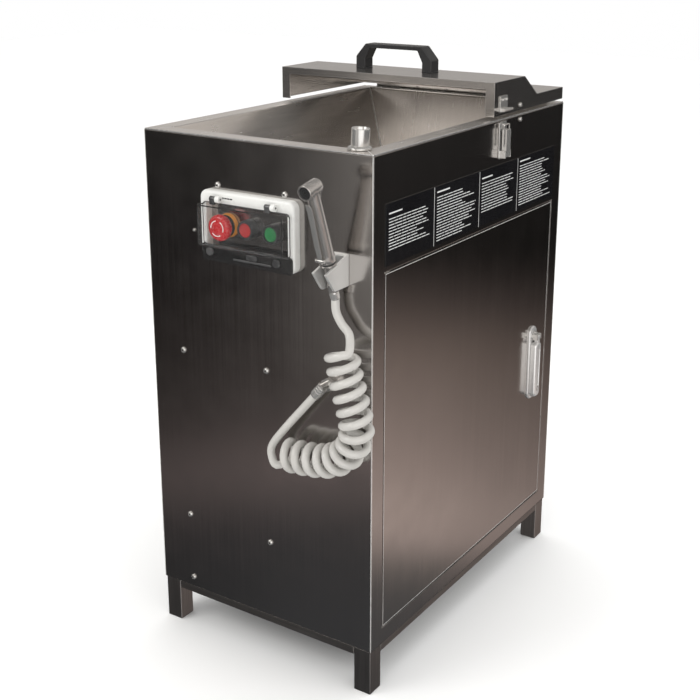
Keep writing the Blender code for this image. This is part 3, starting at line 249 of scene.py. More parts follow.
def blend(add, source, first, second):
    """A colour that goes from the first to the second as the pattern goes from 0 to 1."""
    mix = add("Mix", {0: source}, {6: (*first, 1), 7: (*second, 1)}, data_type="RGBA")
    return mix[2]


def plastic(name, colour, deep, rough=0.32, grain=900.0, bump=0.12, coat=0.0, patch=14.0):
    """Moulded plastic: two close tones in soft patches, uneven gloss, and a fine moulded texture."""
    made, add, connect = finish(name, {"Metallic": 0.0, "Coat Weight": coat, "Coat Roughness": 0.12})
    patches = noise(add, patch, 4)
    connect(blend(add, span(add, patches, 0, 1), deep, colour), "Base Color")
    smears = noise(add, patch * 6, 5)
    connect(span(add, smears, rough - 0.06, rough + 0.09), "Roughness")
    texture = noise(add, grain, 2)
    connect(add("Bump", {"Height": texture}, {"Strength": bump, "Distance": 0.0002})["Normal"], "Normal")
    return made


def build(name, shapes, paint, body="cabinet", replaces=(), crease=38):
    """Make one mesh of grids of points, each (points, wrapped).

    A grid's rows are closed rings. They join row to row, and are capped at both ends unless the rows wrap.
    Each is turned so that its faces point away from the middle of its rings.
    """
    points, faces, count = [], [], 0
    for grid, wrapped in shapes:
        rows, ring = grid.shape[:2]
        index = np.arange(rows * ring).reshape(rows, ring)
        below = np.roll(index, -1, axis=0) if wrapped else index[1:]
        above = index if wrapped else index[:-1]
        quads = np.stack([above, np.roll(above, -1, 1), np.roll(below, -1, 1), below], -1).reshape(-1, 4)
        flat = grid.reshape(-1, 3)
        corner = flat[quads]
        normal = np.cross(corner[:, 2] - corner[:, 0], corner[:, 3] - corner[:, 1])
        middles = np.broadcast_to(grid.mean(0 if wrapped else 1, keepdims=True), grid.shape).reshape(-1, 3)
        outward = ((corner.mean(1) - middles[quads].mean(1)) * normal).sum()
        ends = [] if wrapped else [index[0][::-1], index[-1]]
        if outward < 0:
            quads = quads[:, ::-1]
            ends = [end[::-1] for end in ends]
        faces += [face.tolist() for face in quads + count]
        faces += [(end + count).tolist() for end in ends]
        points.append(flat)
        count += rows * ring
    mesh = bpy.data.meshes.new(name)
    mesh.from_pydata(np.concatenate(points).tolist(), [], faces)
    mesh.materials.append(paint)
    mesh.shade_smooth()
    mesh.set_sharp_from_angle(angle=math.radians(crease))
    made = bpy.data.objects.new(name, mesh)
    bpy.context.scene.collection.objects.link(made)
    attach(made, body)
    if replaces:
        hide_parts(*replaces)
    return made


def frames(path):
    """Carry a pair of directions square to the path along it, turning them no more than the path turns."""
    ahead = np.gradient(path, axis=0)
    ahead /= np.linalg.norm(ahead, axis=1, keepdims=True)
    across = np.empty_like(path)
    guide = np.array([0.0, 0.0, 1.0]) if abs(ahead[0][2]) < 0.9 else np.array([1.0, 0.0, 0.0])
    for i, step in enumerate(ahead):
        guide = guide - step * guide.dot(step)
        guide /= np.linalg.norm(guide)
        across[i] = guide
    return across, np.cross(ahead, across)


def pipe(path, radius, sides=16):
    """A round section carried along a path: path + radius (cos angle across + sin angle up)."""
    path = np.asarray(path, float)
    across, up = frames(path)
    angle = np.linspace(0, 2 * math.pi, sides, endpoint=False)[None, :, None]
    radius = np.broadcast_to(radius, len(path))[:, None, None]
    return path[:, None] + radius * (np.cos(angle) * across[:, None] + np.sin(angle) * up[:, None]), False


def smooth_path(places, spacing):
    """A smooth curve through places (Catmull-Rom), walked in equal steps of about the given length."""
    places = np.asarray(places, float)
    ends = np.vstack([2 * places[0] - places[1], places, 2 * places[-1] - places[-2]])
    t = np.linspace(0, 1, 30, endpoint=False)[:, None]
    a, b, c, d = ends[:-3], ends[1:-2], ends[2:-1], ends[3:]
    pieces = [
        0.5 * (2 * b[i] + (c[i] - a[i]) * t + (2 * a[i] - 5 * b[i] + 4 * c[i] - d[i]) * t**2
               + (3 * b[i] - a[i] - 3 * c[i] + d[i]) * t**3)
        for i in range(len(a))
    ]
    fine = np.vstack([*pieces, places[-1]])
    walked = np.concatenate([[0], np.cumsum(np.linalg.norm(np.diff(fine, axis=0), axis=1))])
    steps = np.linspace(0, walked[-1], max(3, round(walked[-1] / spacing) + 1))
    return np.stack([np.interp(steps, walked, fine[:, k]) for k in range(3)], axis=1)


def hose_place(from_right, out, height):
    """A point by its distance from the right side, its distance out from the front sheet, and its height."""
    return np.array([RIGHT_FACE - from_right, FRONT_FACE - out, height])


core = smooth_path(
    [hose_place(a, HOSE_OUT, b) for a, b in (
        (0.034, 0.566), (0.027, 0.53), (0.018, 0.498), (0.01, 0.468), (0.008, 0.444), (0.016, 0.421),
        (0.034, 0.402), (0.057, 0.3905), (0.081, 0.3855), (0.106, 0.383), (0.137, 0.3815),
    )],
    0.0008,
)
core_ahead = np.gradient(core, axis=0)
core_ahead /= np.linalg.norm(core_ahead, axis=1, keepdims=True)
front = np.array([0.0, -1.0, 0.0])
sideways = np.cross(front, core_ahead)
phase = np.linspace(-math.radians(20), 2 * math.pi * TURNS, len(core))[:, None]
coil = core + TURN_RADIUS * (np.cos(phase) * sideways + np.sin(phase) * front)
LEAN = math.radians(18)
seat = hose_place(0.0515, 0.033, 0.687)
spray_up = np.array([0.0, -math.sin(LEAN), math.cos(LEAN)])
hose_start = seat - spray_up * 0.0423
ELBOW_WAY = np.array([-0.65, 0.0, -0.76]) / math.hypot(0.65, 0.76)
elbow = hose_place(0.073, 0.02, 0.497)
hose_end = elbow + ELBOW_WAY * 0.0183
places = np.vstack([
    hose_start, hose_start - spray_up * 0.012, hose_place(0.0495, 0.017, 0.616),
    hose_place(0.04, 0.0175, 0.6),
    hose_place(0.027, 0.0175, 0.5855), coil[3:-3:2],
    coil[-4], hose_place(0.1475, 0.0315, 0.3615), hose_place(0.1585, 0.029, 0.371),
    hose_place(0.16, 0.026, 0.388),
    hose_place(0.14, 0.0225, 0.4175), hose_end + ELBOW_WAY * 0.014, hose_end,
])
hose_line = smooth_path(places, 0.0042)
HOSE_CREAM = plastic("hose_cream_plastic", (0.56, 0.545, 0.515), (0.49, 0.475, 0.45), rough=0.2, grain=1400,
    bump=0.06, coat=0.35)
hose = build("rinse_hose", [pipe(hose_line, HOSE_RADIUS, 14)], HOSE_CREAM, "cabinet",
             ["hose_lead", "hose_coil", "hose_tail"])


# ------------------------------------------------------------------ rinse sprayer
# A slim turned handset in brushed stainless: a tapered body, a short head across its top with a ribbed
# grip ring behind a black nozzle, a nut where the hose is clamped, and a thin lever down its front.
def turned(profile, base, along, sides=40, wrapped=False):
    """A profile of (radius, height) turned round the line from base along a direction."""
    along = np.asarray(along, float) / np.linalg.norm(along)
    helper = np.array([1.0, 0, 0]) if abs(along[0]) < 0.9 else np.array([0, 1.0, 0])
    one = np.cross(along, helper)
    one /= np.linalg.norm(one)
    two = np.cross(along, one)
    angle = np.linspace(0, 2 * math.pi, sides, endpoint=False)[None, :, None]
    profile = np.asarray(profile, float)
    radius, height = profile[:, 0][:, None, None], profile[:, 1][:, None, None]
    grid = np.asarray(base, float) + height * along + radius * (np.cos(angle) * one + np.sin(angle) * two)
    return grid, wrapped


def rounded(profile, cut=0.0006, steps=3):
    """Replace each inner corner of a profile with a short bend: a quadratic curve across the corner."""
    profile = np.asarray(profile, float)
    made = [profile[0]]
    for before, corner, after in zip(profile, profile[1:], profile[2:]):
        reach = min(cut, 0.4 * np.linalg.norm(before - corner), 0.4 * np.linalg.norm(after - corner))
        start = corner + (before - corner) / np.linalg.norm(before - corner) * reach
        end = corner + (after - corner) / np.linalg.norm(after - corner) * reach
        for t in np.linspace(0, 1, steps + 1):
            made.append((1 - t) ** 2 * start + 2 * t * (1 - t) * corner + t**2 * end)
    made.append(profile[-1])
    return np.array(made)


def lathe(profile, cut, base, along, sides=40, wrapped=False):
    """A profile with bent corners, turned round a line."""
    return turned(rounded(profile, cut), base, along, sides, wrapped)


def metal(name, tone, dark, rough, grain=(1, 1, 1), scale=500.0, edge_wear_and_glint=0.0, turn=0.0, bump=0.1, patch=5.0,
          wear_and_glint_tone=None, solid=1.0):
    """Bare metal: brushed along the axis whose grain factor is small, with cloudy tone and edges painted
    lighter, partly wear and partly painted highlight.
    """
    made, add, connect = finish(name, {"Metallic": solid, "Anisotropic": turn})
    lines = noise(add, scale, 4, grain, 0.6)
    cloud = noise(add, patch, 4)
    smear = noise(add, patch * 4.3, 5)
    mixed = add("Math", {0: lines, 1: cloud}, operation="ADD")[0]
    colour = blend(add, span(add, mixed, 0, 1, 0.72, 1.28), dark, tone)
    gloss = add("Math", {0: span(add, lines, rough - 0.02, rough + 0.03),
        1: span(add, smear, -0.015, 0.02)}, operation="ADD")[0]
    # Edges turn towards a lighter tone: partly wear, partly a painted highlight along the edges.
    if edge_wear_and_glint:
        edge = add("Bevel", {}, {"Radius": edge_wear_and_glint}, samples=4)["Normal"]
        flat = add("NewGeometry", {})["Normal"]
        same = add("VectorMath", {0: edge, 1: flat}, operation="DOT_PRODUCT")["Value"]
        worn_and_glint = span(add, same, 1.0, 0.0, 0.86, 0.985)
        mix = add("Mix", {0: worn_and_glint, 6: colour}, {7: (*(wear_and_glint_tone or (0.8, 0.79, 0.77)), 1)}, data_type="RGBA")
        colour = mix[2]
    connect(colour, "Base Color")
    connect(gloss, "Roughness")
    connect(add("Bump", {"Height": lines}, {"Strength": bump, "Distance": 0.0002})["Normal"], "Normal")
    return made


POLISHED = metal("polished_steel", (0.72, 0.71, 0.69), (0.58, 0.57, 0.55), 0.17, scale=260, bump=0.03,
    solid=0.8)
SPRAY_STEEL = metal("sprayer_steel", (0.62, 0.6, 0.58), (0.45, 0.43, 0.41), 0.2, (1, 1, 0.03), 1500,
    bump=0.1, solid=0.8)
BLACK = plastic("black_moulding", (0.03, 0.03, 0.031), (0.018, 0.018, 0.019), rough=0.38)
RUBBER = plastic("black_rubber", (0.035, 0.034, 0.033), (0.02, 0.02, 0.02), rough=0.62, grain=600, bump=0.3)

SPRAY_TOP = 0.12
out_in_hand = np.array([0.0, -math.cos(math.radians(5)), math.sin(math.radians(5))])


def in_hand(point):
    """A point given in the handset's own frame, brought to its seat and leaned out with it."""
    x, y, z = point
    return seat + np.array([
        x, y * math.cos(LEAN) - z * math.sin(LEAN), y * math.sin(LEAN) + z * math.cos(LEAN)])


nozzle_way = in_hand(out_in_hand) - seat
head_centre = in_hand((0, 0, SPRAY_TOP))
body_line = rounded([
    (0.007, -0.042), (0.0078, -0.04), (0.008, -0.029), (0.007, -0.0285), (0.0072, -0.012), (0.0078, -0.006),
    (0.008, 0.0003), (0.0116, 0.0003), (0.012, 0.003), (0.0109, 0.0035), (0.0109, 0.0062), (0.0122, 0.007),
    (0.0122, 0.012), (0.0116, 0.018), (0.0104, 0.056), (0.0092, 0.095), (0.0086, 0.108), (0.0084, 0.118),
])
ribs = [(0.0112 - (0.0005 if i % 2 else 0.0), 0.0055 + 0.0007 * i) for i in range(9)]
head_line = rounded([
    (0.003, -0.0145), (0.0078, -0.0142), (0.0098, -0.0125), (0.011, -0.01), (0.0112, 0.004), (0.0108, 0.0048),
    *ribs, (0.0112, 0.013), (0.0112, 0.0175), (0.0104, 0.0184), (0.0092, 0.0184), (0.009, 0.015),
    (0.004, 0.015),
], 0.0005, 2)
build("sprayer_shell", [
    turned(body_line, seat, spray_up), turned(head_line, head_centre, nozzle_way),
], SPRAY_STEEL, "sprayer", ["sprayer_body"])
jets = [
    turned([(0.001, 0), (0.001, 0.0012), (0.0006, 0.0016)], head_centre + nozzle_way * 0.016
           + np.array([math.cos(a), 0, 0]) * r + np.cross(nozzle_way, [1, 0, 0]) * math.sin(a) * r,
           nozzle_way, 8)
    for r, count in ((0.0028, 6), (0.0056, 12)) for a in np.arange(count) * 2 * math.pi / count
]
build("sprayer_nozzle", [
    turned(rounded([(0.0015, 0.0148), (0.0086, 0.015), (0.0088, 0.0168), (0.007, 0.0166), (0.003, 0.016),
    (0.001, 0.016)]),
           head_centre, nozzle_way), *jets,
], BLACK, "sprayer")
build("sprayer_neck_ring", [
    lathe([(0.01, 0.0034), (0.0111, 0.0034), (0.0111, 0.0064), (0.01, 0.0064)], 0.0004,
           seat, spray_up, wrapped=True),
], BLACK, "sprayer")
for side in (-1, 1):
    build(f"sprayer_lever_lug_{'a' if side < 0 else 'b'}", [
        lathe([(0.0006, -0.0008), (0.0028, -0.0008), (0.0028, 0.0008), (0.0006, 0.0008)], 0.0003,
               in_hand((side * 0.0062, -0.0152, 0.0155)), (1, 0, 0), 20),
        pipe([in_hand((side * 0.0062, -0.0148, 0.015)), in_hand((side * 0.0058, -0.0095, 0.014))], 0.0016,
        10),
    ], POLISHED, "sprayer")
hook = smooth_path([in_hand(p) for p in (
    (0.0, 0.012, 0.121), (0.0, 0.0165, 0.118), (0.0, 0.0185, 0.112), (0.0, 0.0155, 0.102),
    (0.0, 0.011, 0.096))], 0.0012)
build("sprayer_wire_hook", [pipe(hook, 0.0008, 8)], POLISHED, "sprayer")


def ribbon(path, across, half_width, thick):
    """A flat bar with rounded edges: a flattened ring of the given half width and thickness along a path."""
    path = np.asarray(path, float)
    ahead = np.gradient(path, axis=0)
    ahead /= np.linalg.norm(ahead, axis=1, keepdims=True)
    across = np.broadcast_to(np.asarray(across, float), path.shape)
    up = np.cross(ahead, across)
    angle = np.linspace(0, 2 * math.pi, 20, endpoint=False)
    wide = np.sign(np.cos(angle)) * np.abs(np.cos(angle)) ** 0.55
    tall = np.sign(np.sin(angle)) * np.abs(np.sin(angle)) ** 0.75
    half_width = np.broadcast_to(half_width, len(path))[:, None, None]
    return (path[:, None] + half_width * wide[None, :, None] * across[:, None]
            + thick / 2 * tall[None, :, None] * up[:, None]), False


lever_line = smooth_path([in_hand((0, y, z)) for y, z in (
    (-0.0152, 0.0135), (-0.0152, 0.03), (-0.0149, 0.06), (-0.0143, 0.085), (-0.0149, 0.097),
    (-0.0165, 0.1035))], 0.002)
lever_width = np.interp(np.linspace(0, 1, len(lever_line)), [0, 0.1, 0.75, 0.95, 1],
    [0.003, 0.0044, 0.0046, 0.0048, 0.003])
build("sprayer_lever", [
    ribbon(lever_line, (1, 0, 0), lever_width, 0.0017),
    lathe([(0.0015, -0.005), (0.0025, -0.005), (0.0025, 0.005), (0.0015, 0.005)], 0.0003,
           in_hand((0, -0.0152, 0.0155)), (1, 0, 0), 20, wrapped=True),
], POLISHED, "sprayer_trigger", ["sprayer_trigger"])


# ------------------------------------------------------------------ frame and legs
# Four square stainless tubes stand at the corners and run down to be the legs, each closed at its foot.
# Two rings of the same tube join them, welded and dressed, one near the floor and one under the rim.
def dress(paint, *nodes, ease=0.0008, steps=2, smooth=False):
    """Give CAD nodes a finish, and round their edges a little where faces meet at over 35 degrees."""
    for node in nodes:
        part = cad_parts[node]
        if part.material_slots:
            part.material_slots[0].material = paint
        else:
            part.data.materials.append(paint)
        part.data.polygons.foreach_set("use_smooth", [smooth] * len(part.data.polygons))
        weld = part.modifiers.new("merge", "WELD")
        weld.merge_threshold = 0.00002
        if ease:
            edge = part.modifiers.new("ease", "BEVEL")
            edge.width = ease
            edge.segments = steps
            edge.limit_method = "ANGLE"
            edge.angle_limit = math.radians(35)

LEG_STEEL = metal("leg_steel", (0.4, 0.385, 0.37), (0.27, 0.26, 0.25), 0.3, (1, 1, 0.02), 380, edge_wear_and_glint=0.0012,
    turn=0.4)
RAIL_STEEL = metal("rail_steel", (0.4, 0.385, 0.37), (0.27, 0.26, 0.25), 0.3, (0.02, 0.02, 1), 380,
    edge_wear_and_glint=0.0012)
dress(LEG_STEEL, "post_front_left", "post_rear_left", "post_front_right", "post_rear_right", ease=0.0016,
    steps=3)
dress(RAIL_STEEL, "rail_front", "rail_rear", "rail_left", "rail_right", "top_rail_left", "top_rail_right",
    ease=0.0016, steps=3)


# ------------------------------------------------------------------ cabinet sheets
# Satin stainless sheets, brushed upright, close the four sides. Dome screws through the front sheet hold the
# electrical box behind it, and two more above the control box hold a bracket.
SHEET_STEEL = metal(
    "satin_sheet", (0.5, 0.48, 0.465), (0.445, 0.428, 0.413), 0.15, (1, 1, 0.004), 620, edge_wear_and_glint=0.0014,
    turn=0.5, bump=0.05)
DOOR_STEEL = metal(
    "satin_door", (0.52, 0.5, 0.48), (0.47, 0.45, 0.432), 0.13, (1, 1, 0.004), 620, edge_wear_and_glint=0.0014, turn=0.5,
    bump=0.04)
dress(SHEET_STEEL, "front_panel", "left_panel", "right_panel", ease=0.0011, steps=3)
dress(SHEET_STEEL, "back_panel", ease=0.0)
# A bright finish for thin rods down the four cabinet corners and round the door: painted highlights along the
# sheet edges.
EDGE_HIGHLIGHT = metal("painted_edge_highlight", (0.86, 0.85, 0.83), (0.74, 0.73, 0.71), 0.26, (1, 1, 0.02), 500,
    bump=0.04, solid=0.55)
LEFT_FACE, BACK_FACE = float(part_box("left_panel")[0][0]), float(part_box("back_panel")[1][1])
RIM_TOP = float(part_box("hopper")[1][2])
SHEET_LOW, SHEET_HIGH = float(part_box("front_panel")[0][2]), float(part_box("front_panel")[1][2])
rightward, upward = (1, 0, 0), (0, 0, 1)
corner_highlight_lines = []
for x in (LEFT_FACE + 0.001, RIGHT_FACE - 0.001):
    for y in (FRONT_FACE + 0.001, BACK_FACE - 0.001):
        corner_highlight_lines.append(pipe([(x, y, z) for z in np.linspace(SHEET_LOW + 0.001, SHEET_HIGH - 0.001,
            24)], 0.00105, 12))
build("sheet_corner_highlights", corner_highlight_lines, EDGE_HIGHLIGHT, "cabinet")


def screw(base, out, head=0.0052):
    """A button-head screw on a face: a low dome with a six-sided socket in it."""
    dome = rounded([(head, 0.0002), (head, 0.001), (head * 0.86, 0.0021), (head * 0.58, 0.0028),
        (head * 0.44, 0.0029)], 0.0005)
    return [
        turned(dome, base, out, 24),
        turned([(head * 0.44, 0.0029), (head * 0.4, 0.003), (head * 0.36, 0.0029), (head * 0.36, 0.0012)],
        base, out, 6, wrapped=True),
    ]


def screws(places, out, head):
    """Several alike screws, as one list of shapes."""
    return [shape for place in places for shape in screw(place, out, head)]


def socket(base, out, head=0.0052):
    """The dark six-sided floor of a screw's socket: painted shade inside the socket."""
    return [turned([(head * 0.35, 0.0028), (head * 0.34, 0.00305)], base, out, 6)]


def at_front(from_left, height, out=0.0):
    """A point on the front sheet, from the cabinet's left side."""
    return np.array([LEFT_FACE + from_left, FRONT_FACE - out, height])


front_screws = [at_front(x, z) for x, z in (
    (0.062, 0.494), (0.2255, 0.493), (0.062, 0.208), (0.2265, 0.206), (0.064, 0.093), (0.142, 0.768),
    (0.265, 0.768))]
small_rivet = at_front(0.0935, 0.693)
# A near-black finish: painted shade in the screw sockets and the keyhole.
SOCKET_SHADE = metal("socket_shadow", (0.05, 0.05, 0.05), (0.03, 0.03, 0.03), 0.5)
build("front_sheet_screws", screws(front_screws, (0, -1, 0), 0.0047)
      + screw(small_rivet, (0, -1, 0), 0.0024), POLISHED)
build("front_sheet_screw_sockets", [g for p in front_screws for g in socket(p, (0, -1, 0), 0.0047)],
      SOCKET_SHADE)


# ------------------------------------------------------------------ hopper
# The hopper is folded from one thick sheet: its rim lies on the cabinet as a worktop, and its four walls
# slope to the outlet. The corners are welded and the beads are ground to a low polished line.
# Its edges are painted nearly white: partly wear, partly a painted highlight along the rim and corners.
HOPPER_STEEL = metal(
    "hopper_sheet", (0.7, 0.665, 0.63), (0.62, 0.585, 0.55), 0.24, (1, 0.02, 0.02), 420, edge_wear_and_glint=0.0025,
    bump=0.08, solid=0.8,
    wear_and_glint_tone=(0.92, 0.91, 0.9))
BEAD_STEEL = metal("weld_bead", (0.8, 0.79, 0.77), (0.62, 0.6, 0.58), 0.28, scale=700, bump=0.3, solid=0.7)
dress(HOPPER_STEEL, "hopper", ease=0.0024, steps=3)

def corners(node):
    """The low and high corners of a CAD node's box."""
    return tuple(np.array(corner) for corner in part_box(node))


hopper_low, hopper_high = corners("hopper")
throat_low, throat_high = corners("throat_seal")
RIM_WIDTH, OUTLET_TOP, FLANGE = 0.03, 0.59, 0.02
beads = []
for a in (0, 1):
    for b in (0, 1):
        outer = np.array([(hopper_low, hopper_high)[a][0], (hopper_low, hopper_high)[b][1], RIM_TOP])
        inward = np.array([RIM_WIDTH * (1 - 2 * a), RIM_WIDTH * (1 - 2 * b), 0.0])
        rim_corner = outer + inward
        foot = np.array([
            (throat_low, throat_high)[a][0] + FLANGE * (1 - 2 * a),
            (throat_low, throat_high)[b][1] + FLANGE * (1 - 2 * b), OUTLET_TOP])
        slope = rim_corner + (foot - rim_corner) * np.linspace(0.004, 0.996, 40)[:, None]
        beads.append(pipe(slope, 0.0016, 10))
        mitre = outer + inward * np.linspace(0.08, 0.98, 16)[:, None] - np.array([0, 0, 0.001])
        beads.append(pipe(mitre, 0.0013, 10))
build("hopper_welds", beads, BEAD_STEEL)


# ------------------------------------------------------------------ rim spout
# A short polished tube, open at its top, is welded to a round flange on the front right corner of the rim.
# A rinse hose or a tap body goes on it.
spout_low, spout_high = corners("rim_spout")
spout_base = np.array([spout_low[0] + 0.0175, (spout_low[1] + spout_high[1]) / 2, spout_low[2]])
build("spout_flange", [lathe([
    (0.0112, 0.0), (0.0174, 0.0), (0.0174, 0.003), (0.015, 0.0046), (0.0136, 0.0058), (0.0112, 0.0058)],
    0.0012,
    spout_base, (0, 0, 1), 56, wrapped=True)], POLISHED, "cabinet", ["rim_spout"])
build("spout_tube", [lathe([
    (0.011, 0.0012), (0.013, 0.0012), (0.013, 0.0292), (0.0124, 0.0298), (0.0116, 0.0298), (0.011, 0.029)],
    0.0003,
    spout_base, (0.067, 0, 1), 56, wrapped=True)],
    metal("spout_steel", (0.74, 0.73, 0.71), (0.6, 0.59, 0.57), 0.18, (1, 1, 0.03), 900, solid=0.8))


# ------------------------------------------------------------------ guard lid
# The lid is folded from stainless sheet, open below and in front. A bridge handle moulded in black plastic is
# screwed to its top, and a piano hinge runs along its back edge.
# Its edges are painted lighter: partly wear, partly a painted highlight along the lid's front edge.
LID_STEEL = metal(
    "lid_sheet", (0.54, 0.52, 0.5), (0.48, 0.46, 0.442), 0.17, (0.01, 1, 1), 520, edge_wear_and_glint=0.0022, bump=0.05,
    solid=0.97,
    wear_and_glint_tone=(0.9, 0.89, 0.88))
dress(LID_STEEL, "lid_cover", ease=0.001, steps=2)
dress(BLACK, "lid_handle", ease=0.0022, steps=4)
dress(POLISHED, "lid_hinge", ease=0.0)
grip_low, grip_high = corners("lid_handle")
grip_y = (grip_low[1] + grip_high[1]) / 2
seats = [np.array([x, grip_y, grip_low[2]]) for x in (grip_low[0] + 0.0095, grip_high[0] - 0.0095)]
build("lid_handle_pads",
    [lathe([(0.0142, 0.0001), (0.0142, 0.0012), (0.0128, 0.0022), (0.009, 0.0022)], 0.0006,
                                 s, (0, 0, 1), 40) for s in seats], BLACK, "lid")
hinge_low, hinge_high = corners("lid_hinge")
leaf_screws = [np.array([x, hinge_low[1] + 0.009,
    hinge_low[2] + 0.0013]) for x in np.linspace(hinge_low[0] + 0.02, hinge_high[0] - 0.02, 6)]
build("hinge_leaf_screws", screws(leaf_screws, (0, 0, 1), 0.0036), POLISHED)


# ------------------------------------------------------------------ toggle latch
# A pressed stainless toggle latch on the right side, riveted on. Its wire bail hooks the bar of a keeper on
# the lid. Beside each, a dome screw holds the lid's safety switch and its magnet inside.
dress(POLISHED, "latch_base", "latch_lever", "latch_keeper", ease=0.0004)
dress(POLISHED, "latch_bail", ease=0.0)
latch_low, latch_high = corners("latch_base")
keeper_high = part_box("latch_keeper")[1]
latch_y = (latch_low[1] + latch_high[1]) / 2


def at_right(from_front, height, out=0.0):
    """A point on the right side, from the cabinet's front."""
    return np.array([RIGHT_FACE + out, FRONT_FACE + from_front, height])


build("latch_rivets",
    screws([np.array([RIGHT_FACE + 0.0018, latch_y, z]) for z in (latch_low[2] + 0.0055,
    latch_high[2] - 0.0055)], (1, 0, 0), 0.0026),
      POLISHED)
build("keeper_rivets",
    screws([np.array([RIGHT_FACE + 0.0018, latch_y + y, keeper_high[2] - 0.0062]) for y in (-0.0065,
    0.0065)], (1, 0, 0), 0.0026),
      POLISHED, "lid")
build("lid_side_screw", screw(at_right(0.446, 0.855), (1, 0, 0), 0.004), POLISHED, "lid")
build("body_side_screw", screw(at_right(0.448, 0.831), (1, 0, 0), 0.004), POLISHED)


# ------------------------------------------------------------------ label strip
# Four black printed plates in a row on the right side, above the door, with a thin line between them. The
# print is only rows of plain white dashes under a heading bar, and says nothing.
LABEL_BLACK = plastic("label_black", (0.008, 0.008, 0.009), (0.005, 0.005, 0.006), rough=0.16, grain=1600,
    bump=0.04)
LABEL_WHITE = plastic("label_white", (0.66, 0.66, 0.65), (0.58, 0.58, 0.57), rough=0.4, grain=1600, bump=0.03)
dress(LABEL_BLACK, "label_strip", ease=0.0002)
label_low, label_high = corners("label_strip")
cuts = [label_low[1], FRONT_FACE + 0.1665, FRONT_FACE + 0.309, FRONT_FACE + 0.444, label_high[1]]
dice = np.random.default_rng(7)


def dash(y0, y1, z0, z1):
    """A thin flat bar of print standing 0.05 mm off the label's face."""
    x = label_high[0]
    ring = np.array([(y0, z0), (y1, z0), (y1, z1), (y0, z1)])
    return np.stack([np.column_stack([np.full(4, x + d), ring]) for d in (0.0, 0.00005)]), False


print_rows = []
for y0, y1, top_gap, lines, pitch in (
        (cuts[0], cuts[1], 0.014, 11, 0.0044), (cuts[1], cuts[2], 0.008, 16, 0.0044),
        (cuts[2], cuts[3], 0.012, 11, 0.0046), (cuts[3], cuts[4], 0.006, 16, 0.0044)):
    left, right = y0 + 0.008, y1 - 0.008
    top = label_high[2] - top_gap
    print_rows.append(dash(left, left + 0.3 * (right - left), top - 0.0022, top))
    for row in range(lines):
        z = top - 0.0085 - row * pitch
        y, end = left, left + (right - left) * dice.uniform(0.62, 0.98)
        while y < end - 0.003:
            word = min(dice.uniform(0.006, 0.02), end - y)
            print_rows.append(dash(y, y + word, z - 0.0013, z))
            y += word + 0.0016
for y in cuts[1:4]:
    print_rows.append(dash(y - 0.0005, y + 0.0005, label_low[2] + 0.0006, label_high[2] - 0.0006))
build("label_print", print_rows, LABEL_WHITE, "cabinet")


# ------------------------------------------------------------------ service door
# A folded tray of satin stainless on hidden corner pins, with a swing handle near its free edge: a chromed
# capsule plate, a lever that tilts out, and a keyed lock in the lever's foot.
dress(DOOR_STEEL, "door_panel", ease=0.0022, steps=4)
dress(POLISHED, "door_pivot_lower", "door_pivot_upper", "door_handle_swivel", ease=0.0)
door_low, door_high = corners("door_panel")
# A thin bright rod round the door's outline: a painted highlight along its edges.
highlight_outline = np.array([(RIGHT_FACE - 0.001, y, z) for y, z in (
    (door_low[1] + 0.0013, door_low[2] + 0.0013), (door_high[1] - 0.0013, door_low[2] + 0.0013),
    (door_high[1] - 0.0013, door_high[2] - 0.0013), (door_low[1] + 0.0013, door_high[2] - 0.0013))])
build("door_edge_highlight", [pipe(a + (b - a) * np.linspace(0, 1, 30)[:, None], 0.00115, 12) for a,
    b in zip(highlight_outline, np.roll(highlight_outline, -1, axis=0))],
      EDGE_HIGHLIGHT, "door")


def outline(width, height, corner, steps=7):
    """A rectangle with round corners, as points about its middle: a quarter circle round each corner."""
    corner = max(min(corner, width / 2, height / 2), 1e-5)
    angle = np.linspace(0, math.pi / 2, steps)
    made = []
    for turn, (sx, sy) in enumerate(((1, 1), (-1, 1), (-1, -1), (1, -1))):
        a = angle + turn * math.pi / 2
        made.append(np.column_stack([sx * (width / 2 - corner) + corner * np.cos(a),
            sy * (height / 2 - corner) + corner * np.sin(a)]))
    return np.vstack(made)


def layers(origin, side, up, rows, wrapped=False):
    """Round-cornered outlines stacked outwards. A row is width, height, corner, distance out and a shift."""
    side, up = np.asarray(side, float), np.asarray(up, float)
    out = np.cross(side, up)
    grid = []
    for width, height, corner, distance, *shift in rows:
        ring = outline(width, height, corner) + np.array(shift or (0, 0))
        grid.append(np.asarray(origin) + ring[:, :1] * side + ring[:, 1:] * up + distance * out)
    return np.array(grid), wrapped


def eased(width, height, corner, low, high, edge, shift=(0, 0), steps=4):
    """Rows for a plate whose outer edge is rounded: a quarter circle from its side to its face."""
    rows = [(width, height, corner, low, *shift)]
    for a in np.linspace(0, math.pi / 2, steps):
        inset = edge * (1 - math.cos(a))
        rows.append((width - 2 * inset, height - 2 * inset, corner - inset,
            high - edge + edge * math.sin(a), *shift))
    return rows


